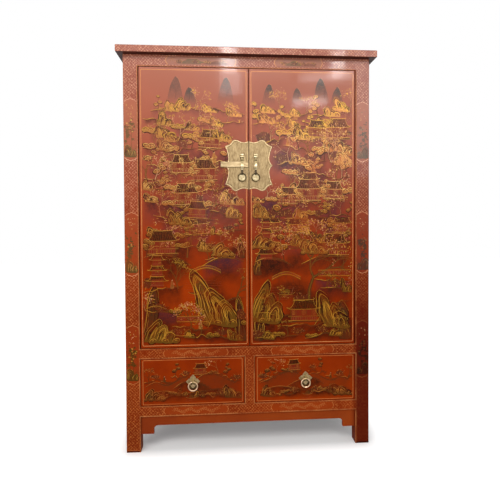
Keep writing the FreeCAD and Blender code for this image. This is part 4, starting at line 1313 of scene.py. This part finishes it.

# Frame paintings
# Posts and rails carry panels of plain lacquer with bracketed ends and a fine gold line round them.
# The tall ones hold bamboo, grass and rocks, the long ones hills or a gold vine. A thin line, gold on the
# left post and dark brown in the right post's painted shade, runs down the outer edge of each post and
# round its foot, above a dark band at the floor.
frame_face = -0.267
post_middle, post_half_width, frame_top = 527.0, 31, 1789
post_panels = ((309, 579), (798, 1087), (1315, 1594))
outer_line, inner_line, line_foot, under_rail = 556.8, 497.9, 9, 157
foot_line = ((497.2, 9.5), (527, 9.5), (557, 9.5))
foot_band = ((495.8, 1), (558.2, 1), (558.2, 6.5), (495.8, 6.5))
top_rail, middle_rail, bottom_rail = 1765, 446.5, 184.0
leaf_green = paint("4b4728", 0.9)
# The right post's darker leaves, golds and grounds, and its faint lowest bracket, carry its painted shade.
post_leaves = {"left": ("3f3410", "4c4220", "574d2c"), "right": ("27150a", "3f3024", "544c3c")}
post_golds = {"left": ("a87a2c", "b08440", "c09450"), "right": ("5a3a1a", "6e5034", "7c6850")}
post_grounds = {"left": ("8e3c1c", "9c5030", "ac6c50"), "right": ("56200e", "84402a", "a87058")}
bracket_golds = ("b0703c", "cf9064", "e2ac88")


def on_frame(x, z, h):
    return (x, frame_face - h, z)


def cartouche(picture, x, z, long, broad, upright, tint, ground):
    """A panel of plainer ground across the whole member, with a bracketed gold line at each end."""
    picture.begin()
    bracket_marks = ((0.52, 1.0), (0.46, 0.84), (0.37, 0.72), (0.25, 0.64), (0.22, 0.48), (0.18, 0.32),
                     (0.10, 0.16), (0.0, 0.0))
    quarter = [(long - broad * a, broad * b) for a, b in bracket_marks]
    end = quarter + [(a, -b) for a, b in quarter[-2::-1]]
    ends = [[(x + way * b, z + way * a) if upright else (x + way * a, z + way * b) for a, b in end]
            for way in (1, -1)]
    picture.patch(ends[0] + ends[1], ground, skin_lift)
    for bracket in ends:
        picture.line(bracket, 2.8, tint, swell=even)


def bamboo(picture, x, z, high, leaf, stems):
    picture.begin()
    chance = picture.chance
    for k in range(stems):
        a = x + (k - (stems - 1) / 2) * 16
        tall, lean = high * chance.uniform(0.75, 1.0), chance.uniform(-9, 9)
        picture.line([(a + lean * m / 5, z + tall * m / 5) for m in range(6)], 2.4, leaf, swell=(1, 1, 0.6))
        for m in range(int(tall / 15)):
            share = chance.uniform(0.3, 1.0)
            b, c, way = z + tall * share, a + lean * share, chance.choice((-1, 1))
            for fall in (0.1, 0.6, 1.1, 1.6)[:chance.randint(2, 4)]:
                reach = chance.uniform(12, 20)
                side, down = way * reach * math.cos(fall), reach * math.sin(fall)
                blade = [(c, b), (c + side * 0.5, b - down * 0.5 + 1), (c + side, b - down)]
                picture.line(blade, 6.4, leaf, swell=(0.3, 1.0, 0.1))


def low_hills(picture, left, right, foot, high, tint):
    picture.begin()
    top = []
    for k in range(9):
        swing = 0.8 * math.sin(math.pi * k / 8) * picture.chance.uniform(0.5, 1.0)
        top.append((along(left, right, k / 8), foot + high * (0.2 + swing)))
    top = through(top, 2)
    picture.wash(top, [(a, foot) for a, _ in top], tint,
                 lambda u, v, z: min(1.0, 6 * u, 6 * (1 - u)) * 0.85)
    picture.line(top, 1.8, old_gold)


def vine(picture, left, right, z, swing, tint):
    picture.begin()
    count = int((right - left) / 8)
    stem = [(along(left, right, k / count), z + swing * math.sin(k * 0.8)) for k in range(count + 1)]
    picture.line(through(stem, 2), 1.8, tint, swell=(0.5, 1, 0.5))
    for k, (a, b) in enumerate(stem[1:-2]):
        way = 1 if math.cos(k * 0.8) > 0 else -1
        curl = [(a, b), (a + 4, b + way * 7), (a + 10, b + way * 6), (a + 8, b + way * 2)]
        picture.line(through(curl, 2), 2.4, tint, swell=(0.4, 1.0, 0.6))
        picture.dot(a + 3, b - way * 4, 1.9, tint)


for side, way, seed in (("left", -1, 61), ("right", 1, 67)):
    middle = way * post_middle
    whole_post = (middle - post_half_width, middle + post_half_width, 0, frame_top)
    post = Picture(seed, *whole_post)
    thin_gold = paint("b0683a", 0.8, 0.4) if side == "left" else paint("501c0c", 0.8)
    for edge, top in ((outer_line, frame_top - 3), (inner_line, under_rail)):
        post.line([(way * edge, along(line_foot, top, k / 12)) for k in range(13)], 1.3, thin_gold,
                  swell=even)
    post.line([(way * a, b) for a, b in foot_line], 1.9, thin_gold, swell=even)
    post.patch([(way * a, b) for a, b in foot_band], lamp_black)
    for number, (low, high) in enumerate(post_panels):
        tall = high - low
        leaf, gold = paint(post_leaves[side][number], 0.88), paint(post_golds[side][number], 0.85, 0.6)
        cartouche(post, middle, (low + high) / 2, tall / 2, 28.5, True,
                  paint(bracket_golds[number], 0.95 if way < 0 or number else 0.4, 0.3),
                  paint(post_grounds[side][number], 0.35))
        post.field = (middle - 29, middle + 28.4, low + 10, high - 10)
        fin(post, middle + 7 * way, low + 22, 40, 52, 9 * way, leaf, gold, leaf)
        fin(post, middle - 10 * way, low + 20, 28, 30, -5 * way, leaf, gold, leaf)
        bamboo(post, middle + 6 * way, low + 40, tall * 0.48, leaf, 2)
        tuft(post, middle - 12 * way, low + 24, 50, leaf, 6)
        for _ in range(22):
            a, b = middle + post.chance.gauss(4 * way, 11), low + tall * post.chance.gauss(0.52, 0.07)
            post.dot(a, b, post.chance.uniform(3.0, 5.4), post.chance.choice((leaf, leaf, gold)), corners=5)
        for _ in range(16):
            a, b = middle + post.chance.uniform(-18, 18), high - post.chance.uniform(24, 90)
            post.dot(a, b, post.chance.uniform(1.6, 2.8), post.chance.choice((gold, pale_line)), corners=5)
        post.field = whole_post
    hang(post, side + "_post_painting", "carcass", on_frame)

whole_rails = (-493, 493, 160, frame_top)
rails = Picture(71, *whole_rails)
for left, right in ((-372, -55), (117, 340)):
    cartouche(rails, (left + right) / 2, top_rail, (right - left) / 2, 19, False, border_gold,
              paint("8e6450", 0.5))
    rails.field = (left + 8, right - 8, 1748, 1782)
    low_hills(rails, left + 40, along(left, right, 0.62), 1751, 24, leaf_green)
    low_hills(rails, along(left, right, 0.5), right - 24, 1750, 18, umber)
    for share in (0.2, 0.42, 0.6, 0.8):
        thicket(rails, along(left, right, share), 1752, 34, 18, 14)
    vine(rails, left + 14, left + 46, top_rail - 2, 5, old_gold)
    rails.field = whole_rails
for z in (middle_rail, bottom_rail):
    for left, right in ((-392, -98), (98, 392)):
        cartouche(rails, (left + right) / 2, z, (right - left) / 2, 15, False, foot_gold,
                  paint("9a4a20", 0.3))
        vine(rails, left + 36, right - 36, z, 5.0, foot_gold)
hang(rails, "rail_paintings", "carcass", on_frame)

# Plate rims
# Each half of the lock plate has a broad raised rim with a dark line inside it, a painted shadow of a
# groove, and a pale round boss behind its ring. Each pull plate has a narrower rim and a small boss,
# over a dark round disc of painted shade inside its ring.
plate_marks = ((0.0, 0.95), (0.23, 0.905), (0.44, 0.965), (0.56, 1.0), (0.68, 0.965), (0.815, 0.82),
               (0.99, 0.755), (0.90, 0.52), (0.855, 0.27), (0.90, 0.11), (1.0, 0.0))
pull_marks = [(32, 0), (19.2, 12.8), (13.2, 13.2), (12.8, 19.2)]
pull_seam = (25.6, 6.4)
plate_face = -0.2678
plate_middle, plate_half_width, plate_half_height, plate_gap = 1298, 109, 116, 4.0
eye_x, eye_height = 31, 1243.7
pull_x, pull_middle, boss_height, ring_shade_height = 259, 315.75, 295.6, 295.5
plate_field, pull_field = (-140, 140, 1150, 1450), (-300, 300, 270, 360)
rim_brass = brass("rim_brass", dye("c2a67e"), dye("86704c"), (300.0, 300.0, 300.0), 0.26)
boss_brass = brass("polished_brass", dye("ac9d7c"), dye("7c6c4b"), (200.0, 200.0, 200.0), 0.3)


def on_plate(x, z, h):
    return (x, plate_face - h, z)


def plate_loop(way, inset):
    """Half the plate's outline. The marks are shares of its half width and height, above its middle."""
    shares = []
    for a, m, b in zip(plate_marks[:-2:2], plate_marks[1:-1:2], plate_marks[2::2]):
        for step in range(5):
            t = step / 5
            shares.append(tuple((1 - t) ** 2 * p + 2 * t * (1 - t) * (2 * q - (p + r) / 2) + t * t * r
                                for p, q, r in zip(a, m, b)))
    shares += [(1.0, 0.0)] + [(a, -b) for a, b in shares[::-1]]
    wide, high = plate_half_width - inset, plate_half_height - inset
    return [(way * max(a * wide, plate_gap), plate_middle + b * high) for a, b in shares]


def pull_loop(way, size):
    """The quarter is turned three times. The line starts and ends in the middle of a straight side."""
    loop = list(pull_marks)
    for _ in range(3):
        loop += [(-b, a) for a, b in loop[-4:]]
    return [(way * pull_x + a * size, pull_middle + b * size)
            for a, b in [pull_seam] + loop[1:] + loop[:1] + [pull_seam]]


for side, way in (("left", -1), ("right", 1)):
    # The dark line is a painted shadow of a groove inside the rim.
    for name, inset, width, high, finish in (("rim", 3.4, 4.4, 0.7, rim_brass),
                                             ("line", 8.0, 1.6, 0.1, dark_brass)):
        trim = Picture(5, *plate_field)
        trim.line(plate_loop(way, inset), width, unpainted, high, even)
        hang(trim, side + "_lock_plate_" + name, side + "_door", on_plate, finish)
    trim = Picture(6, *pull_field)
    trim.line(pull_loop(way, 0.9), 3.4, unpainted, 0.8, even)
    trim.dot(way * pull_x, boss_height, 8.2, unpainted, 1.1, 20)
    hang(trim, side + "_pull_rim", side + "_drawer", on_plate, rim_brass)
    # A dark disc of painted shade inside the pull ring.
    trim = Picture(7, *pull_field)
    trim.dot(way * pull_x, ring_shade_height, 16.4, unpainted, 1.88, 28)
    hang(trim, side + "_pull_shade_disc", side + "_drawer", on_front, dark_brass)
    trim = Picture(8, *plate_field)
    trim.dot(way * eye_x, eye_height, 14.6, unpainted, 0.2, 28)
    hang(trim, side + "_lock_plate_boss", side + "_door", on_plate, boss_brass)

# Side paintings
# The sides aren't seen in the photo. Real ones carry one tall quiet garden each, so these do too.
# They are painted straight on the side panels, in the same raised lacquer as the doors.
side_face = 0.553
wall_left, wall_right, wall_foot, wall_top = -190, 200, 225, 1722
near_menu = ("rkl", "Tkn", "lrk", "knr", "tkf", "rln")


def on_side(way):
    def place(x, z, h):
        return (way * (side_face + h), way * x, z)

    return place


for side, way, seed in (("left", -1, 51), ("right", 1, 53)):
    wall = Picture(seed, wall_left, wall_right, wall_foot, wall_top)
    gold_border(wall, wall_left - 6, wall_right + 6, wall_foot - 6, wall_top + 6, 7.0, border_gold)
    mist(wall, 14, 500, 1500, brown_wash)
    for x, wide, high in ((-110, 76, 130), (-40, 64, 96), (120, 84, 140)):
        peak(wall, x, 1500, wide, high)
    climb(wall, 1470, 1380, 60, 1.1, 40, far_menu, plum_wash)
    climb(wall, 1230, 1080, 90, 1.3, 80, middle_menu, brown_wash)
    tree(wall, 40 * way, 640, 420, 0.1 * way, 5, "blossom")
    climb(wall, 820, 640, 110, 1.4, 80, near_menu, brown_wash)
    rock(wall, -60 * way, 470, 190, 240, 40 * way, 3)
    climb(wall, 430, 260, 90, 1.2, 60, near_menu, lamp_black)
    wall.lay_washes(wall_foot, wall_top, 10.0)
    hang(wall, side + "_side_painting", "carcass", on_side(way))
